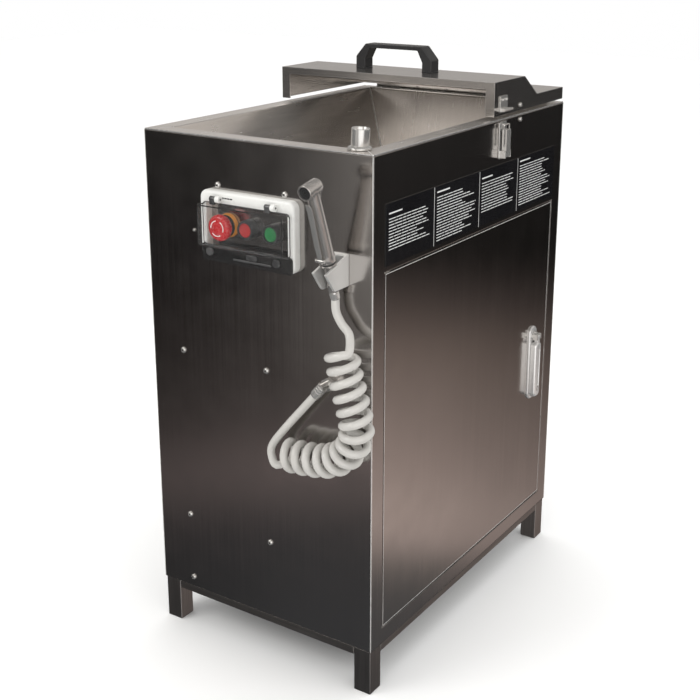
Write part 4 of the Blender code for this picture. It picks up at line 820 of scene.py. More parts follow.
plate_low, plate_high = corners("door_handle_base")
plate_mid = (plate_low + plate_high) / 2
plate_size = plate_high - plate_low
CHROME = metal("chromed_casting", (0.78, 0.77, 0.76), (0.66, 0.65, 0.64), 0.16, scale=160, bump=0.02,
    solid=0.62)
build("door_handle_plate", [layers(
    (plate_low[0], plate_mid[1], plate_mid[2]), (0, 1, 0), upward,
    eased(plate_size[1], plate_size[2], 0.0135, 0, plate_size[0], 0.0022))], CHROME, "door",
    ["door_handle_base"])
lever_low, lever_high = corners("door_handle_lever")
lever_mid = (lever_low + lever_high) / 2
lever_size = lever_high - lever_low
lever_height = lever_size[2] - 0.013
lever_foot = np.array([lever_low[0], lever_mid[1], lever_low[2] + lever_height / 2])
lock_low, lock_high = corners("lock_cylinder")
lock_z = (lock_low[2] + lock_high[2]) / 2
lever_shapes = [layers(lever_foot, (0, 1, 0), upward, [
    (lever_size[1], lever_height, 0.009, 0), *eased(lever_size[1], lever_height, 0.009, 0.0005,
    lever_size[0] * 0.97, 0.0045)[1:],
    (lever_size[1] - 0.013, lever_height - 0.03, 0.005, lever_size[0] * 0.97, 0, 0.004),
    (lever_size[1] - 0.014, lever_height - 0.031, 0.0045, lever_size[0] * 0.9, 0, 0.004)])]
lever_shapes.append(layers((lever_low[0] + 0.004, lever_mid[1], lever_high[2] - 0.009), (0, 1, 0), upward,
                           eased(0.0106, 0.017, 0.003, 0, 0.006, 0.0015)))
build("door_handle_grip", lever_shapes, CHROME, "handle_lever", ["door_handle_lever"])
lock_base = np.array([lock_low[0], (lock_low[1] + lock_high[1]) / 2, lock_z])
lock_face = lock_high[0] - lock_low[0]
build("lock_plug", [lathe([
    (0.0026, lock_face - 0.0002), (0.0044, lock_face - 0.0002), (0.0054, lock_face - 0.001), (0.0054, 0.0),
    (0.0026, 0.0)], 0.0004,
    lock_base, (1, 0, 0), 36, wrapped=True), layers(lock_base, (0, 1, 0), upward, [
        (0.0053, 0.0053, 0.0026, 0.0), (0.0053, 0.0053, 0.0026, lock_face - 0.0016)])], POLISHED, "lock",
        ["lock_cylinder"])
# The keyhole is a dark slot: painted shade for the hole's depth.
build("lock_keyhole", [layers(lock_base, (0, 1, 0), upward, [
    (0.0009, 0.0044, 0.0004, lock_face - 0.0017), (0.0009, 0.0044, 0.0004, lock_face - 0.0014)])],
    SOCKET_SHADE, "lock")


# ------------------------------------------------------------------ control box
# A white moulded frame is screwed to the front sheet round the push buttons. A clear bubble cover hangs from
# two knuckles on its top edge, and two knurled clips and a catch hold the cover's lower flap shut.
WHITE = plastic("white_moulding", (0.8, 0.8, 0.775), (0.745, 0.74, 0.71), rough=0.3, grain=1300, bump=0.06,
    coat=0.15)
CLEAR, add, connect = finish("clear_cover", {
    "Base Color": (0.3, 0.3, 0.3, 1), "Specular IOR Level": 0.7, "IOR": 1.46})
haze = noise(add, 30, 4)
connect(span(add, haze, 0.03, 0.1), "Roughness")
connect(span(add, haze, 0.02, 0.06), "Alpha")
ripple = noise(add, 55, 2)
connect(add("Bump", {"Height": ripple}, {"Strength": 0.08, "Distance": 0.0004})["Normal"], "Normal")
TINTED, add, connect = finish("tinted_cover", {
    "Base Color": (0.022, 0.022, 0.022, 1), "Specular IOR Level": 0.6, "IOR": 1.46})
haze = noise(add, 60, 4)
connect(span(add, haze, 0.08, 0.22), "Roughness")
connect(span(add, haze, 0.8, 0.94), "Alpha")
SMOKED = plastic("smoked_plastic", (0.1, 0.1, 0.1), (0.045, 0.045, 0.046), rough=0.16, grain=400, bump=0.08,
    coat=0.6)

box_low, box_high = corners("control_frame")
frame_top = float(box_high[2])
frame_size = box_high - box_low
FRONT_SEAT = FRONT_FACE - 0.0003  # fittings stand this little clear of the sheet
frame_mid = np.array([(box_low[0] + box_high[0]) / 2, FRONT_SEAT, (box_low[2] + box_high[2]) / 2])
FRAME_THICK = 0.0137  # the frame stands this far off the sheet
BORDER = 0.012  # the width of the frame round its window
window_size = (frame_size[0] - 2 * BORDER, frame_size[2] - 2 * BORDER - 0.01)
window_shift = (0.0, -0.001)
edge_in, edge_out = 0.0035, 0.0045
ring_rows = eased(frame_size[0], frame_size[2], 0.012, 0, FRAME_THICK, edge_out)
for a in np.linspace(math.pi / 2, 0, 4):
    grow = edge_in * (1 - math.cos(a)) * 0.5
    ring_rows.append((window_size[0] + 2 * grow, window_size[1] + 2 * grow, 0.004 + grow,
                      FRAME_THICK - edge_in * 0.5 + edge_in * 0.5 * math.sin(a), *window_shift))
ring_rows.append((window_size[0], window_size[1], 0.004, 0, *window_shift))
axis_y, axis_z = FRONT_FACE - 0.019, frame_top - 0.0105
knuckles = [box_low[0] + 0.025, box_high[0] - 0.047]
frame_shapes = [layers(frame_mid, rightward, upward, ring_rows, wrapped=True)]
for x in knuckles:
    boss = (x + 0.0112, axis_y, axis_z)
    frame_shapes.append(lathe([(0.0016, 0), (0.0054, 0), (0.0054, 0.0076), (0.0016, 0.0076)], 0.0008,
                               boss, (1, 0, 0), 32, wrapped=True))
    frame_shapes.append(layers((x + 0.015, axis_y + 0.004, axis_z), rightward, upward, [
        (0.007, 0.009, 0.002, -0.0032), (0.007, 0.009, 0.002, 0.0036)]))
build("button_frame", frame_shapes, WHITE, "cabinet", ["control_frame"])
build("cover_hinge_pins",
    [pipe([(x + 0.0005, axis_y, axis_z), (x + 0.0192, axis_y, axis_z)], 0.0014, 14) for x in knuckles],
      BLACK, "cabinet")
build("frame_label_dashes",
    [layers((frame_mid[0] - 0.042 + 0.0052 * i, FRONT_SEAT - FRAME_THICK, frame_top - 0.009),
      rightward, upward, [(0.0042, 0.002, 0.0002, 0.0), (0.0042, 0.002, 0.0002, 0.00005)]) for i in range(4)],
      LABEL_BLACK, "cabinet")

WALL = 0.002  # the cover is moulded this thick
PLATE_BACK = FRAME_THICK + 0.0006  # the back of the flat plate round the bubble
plate_left, plate_right = box_low[0] + 0.005, box_high[0] - 0.003
plate_bottom, plate_top = box_low[2] + 0.007, frame_top - 0.0165
bubble_left, bubble_right = box_low[0] + 0.009, box_high[0] - 0.006
bubble_bottom, bubble_top = box_low[2] + 0.025, frame_top - 0.0175
BUBBLE = 0.0337  # the bubble's front is this far off the sheet
cover_mid = np.array([(plate_left + plate_right) / 2, FRONT_SEAT, (plate_bottom + plate_top) / 2])
flap_size = (plate_right - plate_left, plate_top - plate_bottom, 0.004)
bubble_size = (bubble_right - bubble_left, bubble_top - bubble_bottom)
bubble_shift = ((bubble_left + bubble_right) / 2 - cover_mid[0],
    (bubble_bottom + bubble_top) / 2 - cover_mid[2])
cover_rows = []
for a in np.linspace(math.pi / 2, 0, 4):
    inset = 0.0035 * (1 - math.cos(a))
    cover_rows.append((bubble_size[0] - 2 * inset, bubble_size[1] - 2 * inset, 0.006,
        BUBBLE - 0.0035 + 0.0035 * math.sin(a), *bubble_shift))
cover_rows += [(*bubble_size, 0.006, PLATE_BACK + WALL, *bubble_shift), (*flap_size, PLATE_BACK + WALL),
    (*flap_size, PLATE_BACK)]
cover_rows += [(bubble_size[0] - 2 * WALL, bubble_size[1] - 2 * WALL, 0.004, PLATE_BACK, *bubble_shift),
               (bubble_size[0] - 2 * WALL, bubble_size[1] - 2 * WALL, 0.004, BUBBLE - WALL - 0.001,
               *bubble_shift),
               (bubble_size[0] - 2 * WALL - 0.002, bubble_size[1] - 2 * WALL - 0.002, 0.003, BUBBLE - WALL,
               *bubble_shift)]
build("bubble_cover", [layers(cover_mid, rightward, upward, cover_rows)], CLEAR, "control_cover",
    ["control_cover"])
build("cover_knuckles", [g for x in knuckles for g in (
    lathe([(0.0017, 0.0002), (0.004, 0.0002), (0.004, 0.0103), (0.0017, 0.0103)], 0.0006,
    (x, axis_y, axis_z), (1, 0, 0), 28, wrapped=True),
    layers((x + 0.00525, axis_y - 0.0006, axis_z - 0.0045), rightward, upward,
    eased(0.0096, 0.0078, 0.001, 0.0, 0.0028, 0.0006)),
)], SMOKED, "control_cover")


def knurl(base, out, radius, height, teeth=18):
    """A knurled round clip: a short drum whose radius swells and shrinks once for each tooth."""
    grid, _ = turned([(radius * 0.55, -0.0004), (radius, -0.0002), (radius, height * 0.7),
        (radius * 0.82, height), (radius * 0.5, height)], base, out, teeth * 4)
    angle = np.linspace(0, 2 * math.pi, teeth * 4, endpoint=False)
    axis = np.asarray(base, float) + np.asarray(out,
        float) * ((grid - np.asarray(base, float)) @ np.asarray(out, float))[..., None]
    return axis + (grid - axis) * (1 + 0.05 * np.cos(teeth * angle))[None, :, None], False


flap_face = FRONT_SEAT - PLATE_BACK - WALL
clip_places = [(box_low[0] + 0.0205, box_low[2] + 0.0155), (box_high[0] - 0.029, box_low[2] + 0.015)]
catch = np.array([frame_mid[0] + 0.012, flap_face, box_low[2] + 0.016])
clip_shapes = [knurl((x, flap_face, z), (0, -1, 0), 0.0066, 0.0042) for x, z in clip_places]
clip_shapes.append(layers(catch, rightward, upward, eased(0.02, 0.0085, 0.003, 0, 0.003, 0.0014)))
clip_shapes.append(layers(catch + np.array([0, 0, -0.007]), rightward, upward,
    eased(0.07, 0.0034, 0.0016, 0, 0.0015, 0.0008)))
clip_shapes.append(lathe([(0.001, 0.0028), (0.0024, 0.0028), (0.0024, 0.0036), (0.001, 0.0036)], 0.0004,
    catch, (0, -1, 0), 20, wrapped=True))
strip_rise = bubble_bottom - box_low[2] + 0.0005
build("cover_flap",
    [layers((cover_mid[0], cover_mid[1] - PLATE_BACK, box_low[2] + 0.0005 + strip_rise / 2), rightward,
    upward,
      eased(plate_right - plate_left + 0.001, strip_rise, 0.005, -0.0002, WALL + 0.0006, 0.0008))],
      TINTED, "control_cover")
# Thin dark tinted rods along the bubble's front edge and its four corners: painted shade where the clear
# walls turn.
corner_ring = np.array([(x, y) for x, y in outline(bubble_size[0] - 0.004, bubble_size[1] - 0.004, 0.006)])
rim_out = cover_mid + np.array([bubble_shift[0], -BUBBLE + 0.0012, bubble_shift[1]])
edge_ring = rim_out + np.column_stack([corner_ring[:, 0], np.zeros(len(corner_ring)), corner_ring[:, 1]])
edge_ring = np.vstack([edge_ring, edge_ring[:2]])
posts = [np.array([rim_out + np.array([sx * (bubble_size[0] / 2 - 0.002), y,
    sz * (bubble_size[1] / 2 - 0.002)])
         for y in np.linspace(0.0, BUBBLE - PLATE_BACK - 0.003, 8)]) for sx in (-1, 1) for sz in (-1, 1)]
build("cover_edge_shade_lines", [pipe(edge_ring, 0.001, 8)] + [pipe(post, 0.001, 8) for post in posts], TINTED,
    "control_cover")
build("cover_clips", clip_shapes, SMOKED, "control_cover")
build("cover_edge_seal", [layers(cover_mid, rightward, upward, [
    (bubble_size[0] + 0.0024, bubble_size[1] + 0.0024, 0.0068, PLATE_BACK + WALL, *bubble_shift),
    (bubble_size[0] + 0.0024, bubble_size[1] + 0.0024, 0.0068, PLATE_BACK + WALL + 0.0008, *bubble_shift),
    (bubble_size[0] + 0.0002, bubble_size[1] + 0.0002, 0.006, PLATE_BACK + WALL + 0.001, *bubble_shift),
    (bubble_size[0] + 0.0002, bubble_size[1] + 0.0002, 0.006, PLATE_BACK + WALL, *bubble_shift)],
    wrapped=True)],
    SMOKED, "control_cover")


# ------------------------------------------------------------------ push buttons
# The emergency stop is a red mushroom head on a stem through a yellow-orange collar, with three white arcs to
# show the way it turns. Stop and start are flush round caps in deep black bezels. All are moulded plastic.
RED = plastic("red_moulding", (0.5, 0.01, 0.014), (0.36, 0.006, 0.009), rough=0.26, grain=1500, bump=0.05,
    coat=0.4, patch=40)
STOP_RED = plastic("red_cap", (0.4, 0.012, 0.012), (0.28, 0.008, 0.008), rough=0.4, grain=1300, bump=0.08,
    patch=50)
GREEN = plastic("green_cap", (0.01, 0.19, 0.05), (0.006, 0.13, 0.035), rough=0.38, grain=1300, bump=0.08,
    patch=50)
ORANGE = plastic("orange_moulding", (0.86, 0.34, 0.03), (0.7, 0.24, 0.018), rough=0.34, grain=1300,
    bump=0.06, patch=40)
ARC_WHITE = plastic("arc_white", (0.78, 0.76, 0.74), (0.7, 0.68, 0.66), rough=0.35)
out_front = np.array([0.0, -1.0, 0.0])
head_low, head_high = corners("estop_head")
head_mid = np.array([(head_low[0] + head_high[0]) / 2, head_high[1], (head_low[2] + head_high[2]) / 2])
DEEP = float(head_high[1] - head_low[1])
head_line = rounded([
    (0.0072, 0.0), (0.0165, 0.0), (0.019, 0.0022), (0.0199, 0.0065), (0.0197, 0.0098), (0.0182, 0.0122),
    (0.016, 0.0136),
    (0.012, DEEP - 0.0006), (0.005, DEEP), (0.0015, DEEP)], 0.0016, 4)
build("emergency_stop_head", [turned(head_line, head_mid, out_front, 72),
      lathe([(0.0071, 0.0), (0.0071, 0.004), (0.015, 0.0045), (0.015, 0.0005)], 0.0003, head_mid, out_front,
      48, wrapped=True)],
      RED, "estop_head", ["estop_head"])


def arc_band(base, out, inner, outer, start, end, low, high, steps=22):
    """A flat band along part of a circle: its four corners carried round from one angle to another."""
    angle = np.linspace(start, end, steps)[:, None, None]
    ring = np.array([(inner, low), (outer, low), (outer, high), (inner, high)])
    side = np.array([1.0, 0, 0])
    up = np.array([0, 0, 1.0])
    return (np.asarray(base) + np.asarray(out) * ring[None, :, 1:]
            + ring[None, :, :1] * (np.cos(angle) * side + np.sin(angle) * up)), False


def arrow(base, out, radius, angle, low, high, size, way=1):
    """A small triangle pointing along a circle: three corners raised from low to high."""
    side, up = np.array([1.0, 0, 0]), np.array([0, 0, 1.0])
    tips = [(radius - size * 0.8, angle), (radius + size * 0.8, angle),
        (radius, angle + way * size * 1.4 / radius)]
    ring = np.array([r * (math.cos(a) * side + math.sin(a) * up) for r, a in tips])
    return np.array([np.asarray(base) + ring + np.asarray(out) * h for h in (low, high)]), False


arcs = []
for turn in range(3):
    start = math.radians(100 + 120 * turn)
    arcs.append(arc_band(head_mid, out_front, 0.0108, 0.0121, start, start + math.radians(72),
        DEEP - 0.0012, DEEP - 0.00035))
    arcs.append(arrow(head_mid, out_front, 0.01145, start + math.radians(72), DEEP - 0.0012, DEEP - 0.00035,
        0.0017))
build("emergency_stop_arcs", arcs, ARC_WHITE, "estop_head")
collar_mid = np.array([head_mid[0], FRONT_SEAT, head_mid[2]])
build("emergency_stop_collar", [lathe([
    (0.0076, 0.0), (0.0184, 0.0), (0.0184, 0.0012), (0.0176, 0.005), (0.0164, 0.0076), (0.014, 0.0077),
    (0.011, 0.006), (0.0076, 0.0058)],
    0.0008, collar_mid, out_front, 64, wrapped=True)], ORANGE, "cabinet")
dress(BLACK, "estop_collar", "stop_bezel", "start_bezel", ease=0.0)
dress(BLACK, "estop_stem", ease=0.0)
for name, paint, slot in (("stop", STOP_RED, "red_plastic"), ("start", GREEN, "green_plastic")):
    cap_low, cap_high = corners(f"{name}_button")
    middle = np.array([(cap_low[0] + cap_high[0]) / 2, FRONT_SEAT, (cap_low[2] + cap_high[2]) / 2])
    build(f"{name}_bezel_ring", [lathe([
        (0.0112, 0.01), (0.0145, 0.0002), (0.01452, 0.004), (0.0143, 0.014), (0.0135, 0.01565),
        (0.0116, 0.01565), (0.0112, 0.015)], 0.0005, middle, out_front, 56, wrapped=True)], BLACK,
        "cabinet")
    cap = FRONT_SEAT - cap_low[1]
    build(f"{name}_cap", [lathe([
        (0.003, cap - 0.002), (0.0108, cap - 0.002), (0.0108, cap - 0.0007), (0.0102, cap), (0.0094, cap),
        (0.0084, cap - 0.00045),
        (0.004, cap - 0.0006), (0.0012, cap - 0.0006)], 0.0003, middle, out_front, 56),
        turned([(0.002, -0.008), (0.0088, -0.008), (0.0088, cap - 0.0016), (0.002, cap - 0.0014)], middle,
        out_front, 32)],
        paint, f"{name}_button", [f"{name}_button"])


# ------------------------------------------------------------------ sprayer holder and hose elbow
# The holder is a cast fork with satin cheeks, screwed to the front sheet. The elbow's nut clamps it through
# the sheet, and a crimped ferrule grips the end of the hose.
CHEEK = metal("cast_cheek", (0.74, 0.735, 0.72), (0.62, 0.615, 0.6), 0.36, scale=900, edge_wear_and_glint=0.0016,
    bump=0.35, solid=0.62, wear_and_glint_tone=(0.92, 0.92, 0.91))
dress(CHEEK, "sprayer_holder", ease=0.0009, steps=2)
dress(POLISHED, "hose_elbow", ease=0.0)
FERRULE = metal("ferrule_steel", (0.76, 0.75, 0.73), (0.64, 0.63, 0.61), 0.24, scale=500, bump=0.05,
    solid=0.75)
build("elbow_ferrule", [lathe([
    (0.007, -0.003), (0.0079, -0.0026), (0.0081, 0.001), (0.0078, 0.0016), (0.0081, 0.0022),
    (0.0081, 0.006), (0.0078, 0.0066),
    (0.0081, 0.0072), (0.0081, 0.015), (0.0079, 0.018), (0.0058, 0.0182)], 0.0005, elbow, ELBOW_WAY, 40)],
    FERRULE)
build("hose_nut_ferrule", [lathe([
    (0.0056, 0.0002), (0.0068, 0.0002), (0.0072, -0.002), (0.0072, -0.011), (0.0068, -0.0125),
    (0.0056, -0.0125)], 0.0005,
    hose_start, spray_up, 36, wrapped=True)], FERRULE)


# ------------------------------------------------------------------ grinding chamber, seal and rotor
# Under the hopper's square throat lie a rubber seal and a cast chamber, bolted up round its flange. A
# hardened ring with teeth is shrunk into the bore, and two cast lugs swing on pins above a machined
# turntable.
CAST = metal("cast_body", (0.42, 0.41, 0.4), (0.3, 0.295, 0.285), 0.46, scale=700, edge_wear_and_glint=0.002, bump=0.5,
    wear_and_glint_tone=(0.62, 0.61, 0.59))
MACHINED = metal("machined_steel", (0.66, 0.655, 0.64), (0.56, 0.55, 0.54), 0.22, (1, 1, 0.05), 600,
    edge_wear_and_glint=0.001, bump=0.06)
HARDENED = metal("hardened_lug", (0.5, 0.48, 0.46), (0.36, 0.345, 0.33), 0.34, scale=800, edge_wear_and_glint=0.0016,
    bump=0.4, wear_and_glint_tone=(0.78, 0.77, 0.75))
dress(CAST, "grinding_chamber", ease=0.001, steps=2)
dress(RUBBER, "throat_seal", ease=0.0004)
dress(MACHINED, "shredder_ring", "turntable", ease=0.0004)
dress(HARDENED, "swivel_lug_a", "swivel_lug_b", ease=0.001, steps=2)
chamber_low, chamber_high = corners("grinding_chamber")
OUTLET = np.array([MIDDLE[0], (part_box("turntable")[0][1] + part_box("turntable")[1][1]) / 2, 0.0])
FLANGE_UNDER = float(chamber_high[2]) - 0.006
ROTOR_TOP = float(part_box("shredder_ring")[0][2])
bolts = []
for a in np.arange(8) * math.pi / 4:
    reach = 0.0945 * (1 if abs(math.sin(2 * a)) < 0.5 else 1.33)
    place = OUTLET + np.array([reach * math.cos(a), reach * math.sin(a), FLANGE_UNDER])
    bolts.append(turned([(0.002, 0.0001), (0.006, 0.0001), (0.006, 0.001), (0.0048, 0.0011),
        (0.002, 0.0011)], place, (0, 0, -1), 24))
    bolts.append(lathe([(0.0046, 0.0011), (0.0046, 0.0048), (0.004, 0.0054), (0.0012, 0.0056)], 0.0003,
        place, (0, 0, -1), 6))
build("flange_bolts", bolts, POLISHED)
webs = []
for a in np.arange(12) * math.pi / 6 + math.pi / 12:
    out = np.array([math.cos(a), math.sin(a), 0.0])
    webs.append(layers(OUTLET + out * 0.0872 + np.array([0, 0, (chamber_low[2] + FLANGE_UNDER) / 2]),
        (-out[1], out[0], 0), (0, 0, 1),
                       eased(0.005, FLANGE_UNDER - float(chamber_low[2]) - 0.014, 0.001, 0, 0.005, 0.0012)))
build("chamber_webs", webs, CAST, "cabinet")
teeth = []
for a in np.arange(30) * 2 * math.pi / 30:
    out = np.array([math.cos(a), math.sin(a), 0.0])
    for step in range(2):
        turn_on = out * math.cos(0.1 * step) + np.array([-out[1], out[0], 0]) * math.sin(0.1 * step)
        teeth.append(layers(OUTLET + turn_on * 0.0706 + np.array([0, 0, ROTOR_TOP + 0.0085 + 0.0135 * step]),
                            (turn_on[1], -turn_on[0], 0), (0, 0, 1),
                            eased(0.0055, 0.01, 0.0006, 0, 0.0019, 0.0006)))
build("ring_teeth", teeth, MACHINED)
hub = OUTLET + np.array([0, 0, ROTOR_TOP])
build("rotor_nut", [
    lathe([(0.004, 0.0119), (0.013, 0.012), (0.013, 0.0136), (0.011, 0.0138), (0.004, 0.0138)], 0.0004, hub,
    (0, 0, 1), 48),
    lathe([(0.01, 0.0137), (0.01, 0.0205), (0.0088, 0.0216), (0.0056, 0.0217)], 0.0006, hub, (0, 0, 1), 6),
    lathe([(0.0056, 0.0214), (0.0056, 0.0236), (0.0044, 0.0246), (0.001, 0.0247)], 0.0005, hub, (0, 0, 1),
    28)],
    MACHINED, "turntable")
build("rotor_ridges", [layers(hub + np.array([0.04 * math.cos(a), 0.04 * math.sin(a), 0.0049]),
      (math.cos(a), math.sin(a), 0), (-math.sin(a), math.cos(a), 0),
      eased(0.036, 0.004, 0.0019, 0, 0.0011, 0.0008))
      for a in (math.pi / 2, -math.pi / 2)], MACHINED, "turntable")
for name, side in (("a", -1), ("b", 1)):
    pin = hub + np.array([side * 0.045, 0, 0])
    build(f"lug_pin_{name}", [lathe([
        (0.001, 0.0163), (0.0074, 0.0164), (0.0074, 0.0178), (0.006, 0.019), (0.003, 0.0196),
        (0.001, 0.0197)], 0.0004, pin, (0, 0, 1), 32)],
        MACHINED, "turntable")


# ------------------------------------------------------------------ motor and its bridge
# The motor is a painted cast housing with cooling fins between two end bells, four long studs and a terminal
# box. It stands on a folded sheet bridge that is bolted to the side rails.
PAINT = plastic("motor_paint", (0.16, 0.2, 0.24), (0.11, 0.14, 0.175), rough=0.42, grain=700, bump=0.25,
    patch=20)
dress(PAINT, "motor_housing", ease=0.002, steps=3)
dress(RAIL_STEEL, "motor_bridge", ease=0.0008, steps=2)
motor_low, motor_high = corners("motor_housing")
motor_mid = np.array([OUTLET[0], OUTLET[1], (motor_low[2] + motor_high[2]) / 2])
FIN_SPAN = float(motor_high[2] - motor_low[2]) - 0.029
fins, studs = [], []
for a in np.arange(36) * math.pi / 18:
    out = np.array([math.cos(a), math.sin(a), 0.0])
    fins.append(layers(motor_mid + out * 0.0806, (-out[1], out[0], 0), (0, 0, 1),
        eased(0.0026, FIN_SPAN, 0.0006, 0, 0.0085, 0.0009)))
for a in np.arange(4) * math.pi / 2 + math.pi / 4:
    post = motor_mid + np.array([0.0835 * math.cos(a), 0.0835 * math.sin(a), 0])
    studs.append(pipe([post + np.array([0, 0, -FIN_SPAN / 2]), post + np.array([0, 0, FIN_SPAN / 2])],
        0.0028, 14))
    for sign in (-1, 1):
        studs.append(lathe([(0.0056, 0.0), (0.0056, 0.005), (0.003, 0.0056)], 0.0004,
                            post + np.array([0, 0, sign * (FIN_SPAN / 2 - 0.0055)]), (0, 0, sign), 6))
build("motor_fins", fins, PAINT, "cabinet")
build("motor_studs", studs, POLISHED)
side_out = np.array([1.0, 0, 0])
junction = motor_mid + np.array([0.0862, 0, 0.02])
build("motor_terminal_box", [
    layers(junction, (0, 1, 0), (0, 0, 1), eased(0.062, 0.078, 0.006, 0, 0.027, 0.002)),
    layers(junction + side_out * 0.027, (0, 1, 0), (0, 0, 1), eased(0.066, 0.082, 0.007, 0.0, 0.005, 0.002))],
    PAINT, "cabinet")
build("terminal_box_screws",
    screws([junction + np.array([0.0319, y, z]) for y in (-0.026, 0.026) for z in (-0.034, 0.034)],
    side_out, 0.0034), POLISHED)
build("terminal_box_gland", [
    lathe([(0.005, 0.0), (0.0105, 0.0002), (0.0105, 0.006), (0.0092, 0.007)], 0.0005,
    junction + np.array([0.014, 0, -0.0389]), (0, 0, -1), 6),
    lathe([(0.005, 0.0066), (0.0092, 0.0068), (0.0092, 0.015), (0.0066, 0.019), (0.005, 0.019)], 0.0006,
           junction + np.array([0.014, 0, -0.0389]), (0, 0, -1), 28, wrapped=True)], BLACK, "cabinet")
bridge_low, bridge_high = corners("motor_bridge")
build("bridge_bolts", [lathe([(0.0066, 0.0), (0.0066, 0.005), (0.0054, 0.0058), (0.0012, 0.0058)], 0.0004,
      (x, OUTLET[1] + y, bridge_low[2] + 0.0041), (0, 0, 1), 6)
      for x in (bridge_low[0] + 0.015, bridge_high[0] - 0.015) for y in (-0.038, 0.038)], POLISHED)
build("bridge_seams",
    [pipe([(OUTLET[0] + s * 0.0902, OUTLET[1] + y0, bridge_high[2] - 0.0004),
    (OUTLET[0] + s * 0.0902, OUTLET[1] + y0 + 0.03, bridge_high[2] - 0.0004)], 0.0012, 10)
      for s in (-1, 1) for y0 in (-0.05, 0.02)], BEAD_STEEL)


# ------------------------------------------------------------------ drain, water and electrical fittings
# A drawn steel drain leaves through the back sheet and a banded sleeve joins it to the chamber. The rinse
# water comes through a copper-coloured pipe and a brass valve with a black coil. The electrical box is folded
# sheet behind the buttons, and a moulded gland waits for the supply cable.
BRASS = metal("cast_brass", (0.72, 0.53, 0.26), (0.56, 0.39, 0.17), 0.3, scale=600, edge_wear_and_glint=0.0014, bump=0.3,
    wear_and_glint_tone=(0.86, 0.7, 0.42))
TRAY = metal("zinc_tray", (0.55, 0.555, 0.55), (0.44, 0.445, 0.445), 0.38, scale=90, bump=0.08, patch=22)
dress(POLISHED, "drain_pipe", "water_pipe", ease=0.0)
dress(BRASS, "water_valve", ease=0.0008, steps=2)
dress(TRAY, "electrical_box", ease=0.0003)
dress(BLACK, "cable_gland", ease=0.0004)
drain_low, drain_high = corners("drain_pipe")
drain_mid = np.array([(drain_low[0] + drain_high[0]) / 2, 0.0, (drain_low[2] + drain_high[2]) / 2])
backward = np.array([0.0, 1.0, 0.0])
DRAIN = float(drain_high[0] - drain_low[0]) / 2
joint = drain_mid + backward * float(drain_low[1])
build("drain_sleeve", [lathe([
    (DRAIN + 0.0046, -0.013), (DRAIN + 0.0076, -0.013), (DRAIN + 0.0076, 0.015), (DRAIN + 0.001, 0.019),
    (DRAIN + 0.0006, 0.015),
    (DRAIN + 0.0046, 0.0004)], 0.0008, joint, backward, 56, wrapped=True)], RUBBER, "cabinet")
bands = []
for offset in (-0.0085, 0.0095):
    bands.append(lathe([(DRAIN + 0.0078, -0.0032), (DRAIN + 0.0086, -0.0032), (DRAIN + 0.0086, 0.0032),
        (DRAIN + 0.0078, 0.0032)], 0.0002,
                        joint + backward * offset, backward, 56, wrapped=True))
    bands.append(layers(joint + backward * offset + np.array([0, 0, DRAIN + 0.0086]), (1, 0, 0), backward,
        eased(0.014, 0.0078, 0.001, 0, 0.005, 0.001)))
    bands.append(lathe([(0.0036, 0.0), (0.0036, 0.004), (0.0014, 0.0046)], 0.0004,
                        joint + backward * offset + np.array([0.0072, 0, DRAIN + 0.0112]), (1, 0, 0), 6))
build("sleeve_bands", bands, POLISHED)
build("drain_collar", [lathe([
    (DRAIN + 0.0003, 0.0003), (DRAIN + 0.015, 0.0003), (DRAIN + 0.015, 0.0022), (DRAIN + 0.004, 0.003),
    (DRAIN + 0.0012, 0.006), (DRAIN + 0.0003, 0.006)],
    0.0004, drain_mid + backward * BACK_FACE, backward, 56, wrapped=True)], POLISHED)
valve_low, valve_high = corners("water_valve")
valve_mid = (valve_low + valve_high) / 2
coil_base = np.array([valve_mid[0], valve_low[1] + 0.022, valve_high[2]])
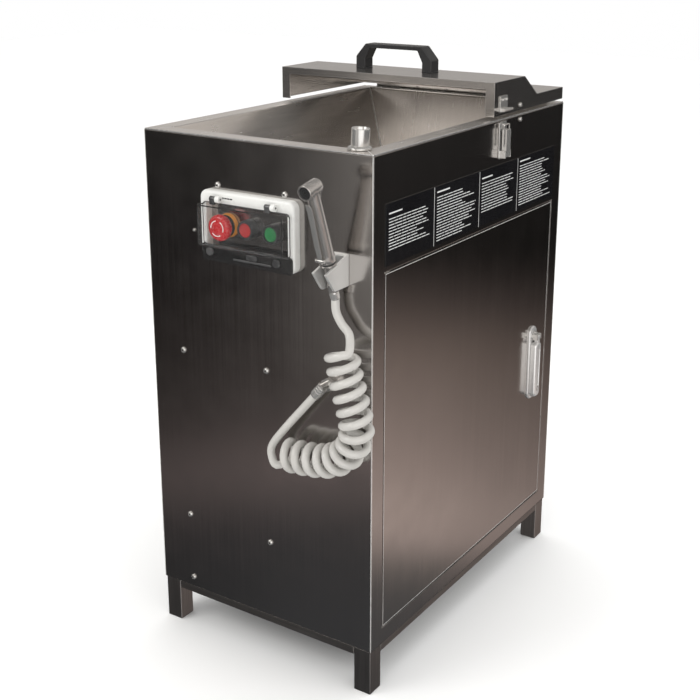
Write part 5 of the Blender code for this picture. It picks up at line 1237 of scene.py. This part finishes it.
build("valve_coil", [
    layers(coil_base + np.array([0, 0, -0.036]), (1, 0, 0), (0, 1, 0),
    eased(0.036, 0.036, 0.006, 0.0, 0.03, 0.0015)),
    lathe([(0.004, 0.0), (0.01, 0.0001), (0.01, 0.003), (0.0076, 0.0036)], 0.0004, coil_base, (0, 0, 1), 6)],
    BLACK, "cabinet")
pipe_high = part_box("water_pipe")[1]
tail = np.array([pipe_high[0] - 0.0075, 0.0, 0.47])
unions = []
for place, way in ((np.array([valve_mid[0], valve_high[1], valve_mid[2]]), backward),
    (tail + backward * (BACK_FACE + 0.0003), backward)):
    unions.append(lathe([(0.0078, 0.0), (0.0125, 0.0), (0.0125, 0.01), (0.011, 0.0112), (0.0078, 0.0112)],
        0.0005, place, way, 6, wrapped=True))
build("water_unions", unions, BRASS, "cabinet")
gland_low, gland_high = corners("cable_gland")
gland_mid = np.array([(gland_low[0] + gland_high[0]) / 2, 0, (gland_low[2] + gland_high[2]) / 2])
build("gland_ribs",
    [pipe([gland_mid + backward * (BACK_FACE + 0.0115) + 0.0098 * np.array([math.cos(a), 0, math.sin(a)]),
      gland_mid + backward * (BACK_FACE + 0.018) + 0.0088 * np.array([math.cos(a), 0, math.sin(a)])],
      0.0007, 8)
      for a in np.arange(12) * math.pi / 6], BLACK, "cabinet")
build("gland_locknut", [lathe([(0.0082, 0.0), (0.0125, 0.0), (0.0125, 0.004), (0.0082, 0.004)], 0.0005,
      gland_mid + backward * (BACK_FACE - 0.0062), backward, 6, wrapped=True)], BLACK, "cabinet")
tray_low, tray_high = corners("electrical_box")
tray_mid = (tray_low + tray_high) / 2
build("box_rivets",
    screws([(tray_mid[0] + x, tray_high[1], tray_mid[2] + z) for x in (-0.055, 0.055) for z in (-0.118,
    0.118)], (0, 1, 0), 0.003), POLISHED)
build("box_grommet",
    [lathe([(0.0062, -0.003), (0.0125, -0.003), (0.0125, -0.0003), (0.0098, -0.0001), (0.0098, 0.002),
    (0.0062, 0.002)], 0.0004,
      (tray_mid[0], tray_low[1] + 0.0587, tray_low[2]), (0, 0, 1), 32, wrapped=True)], RUBBER, "cabinet")
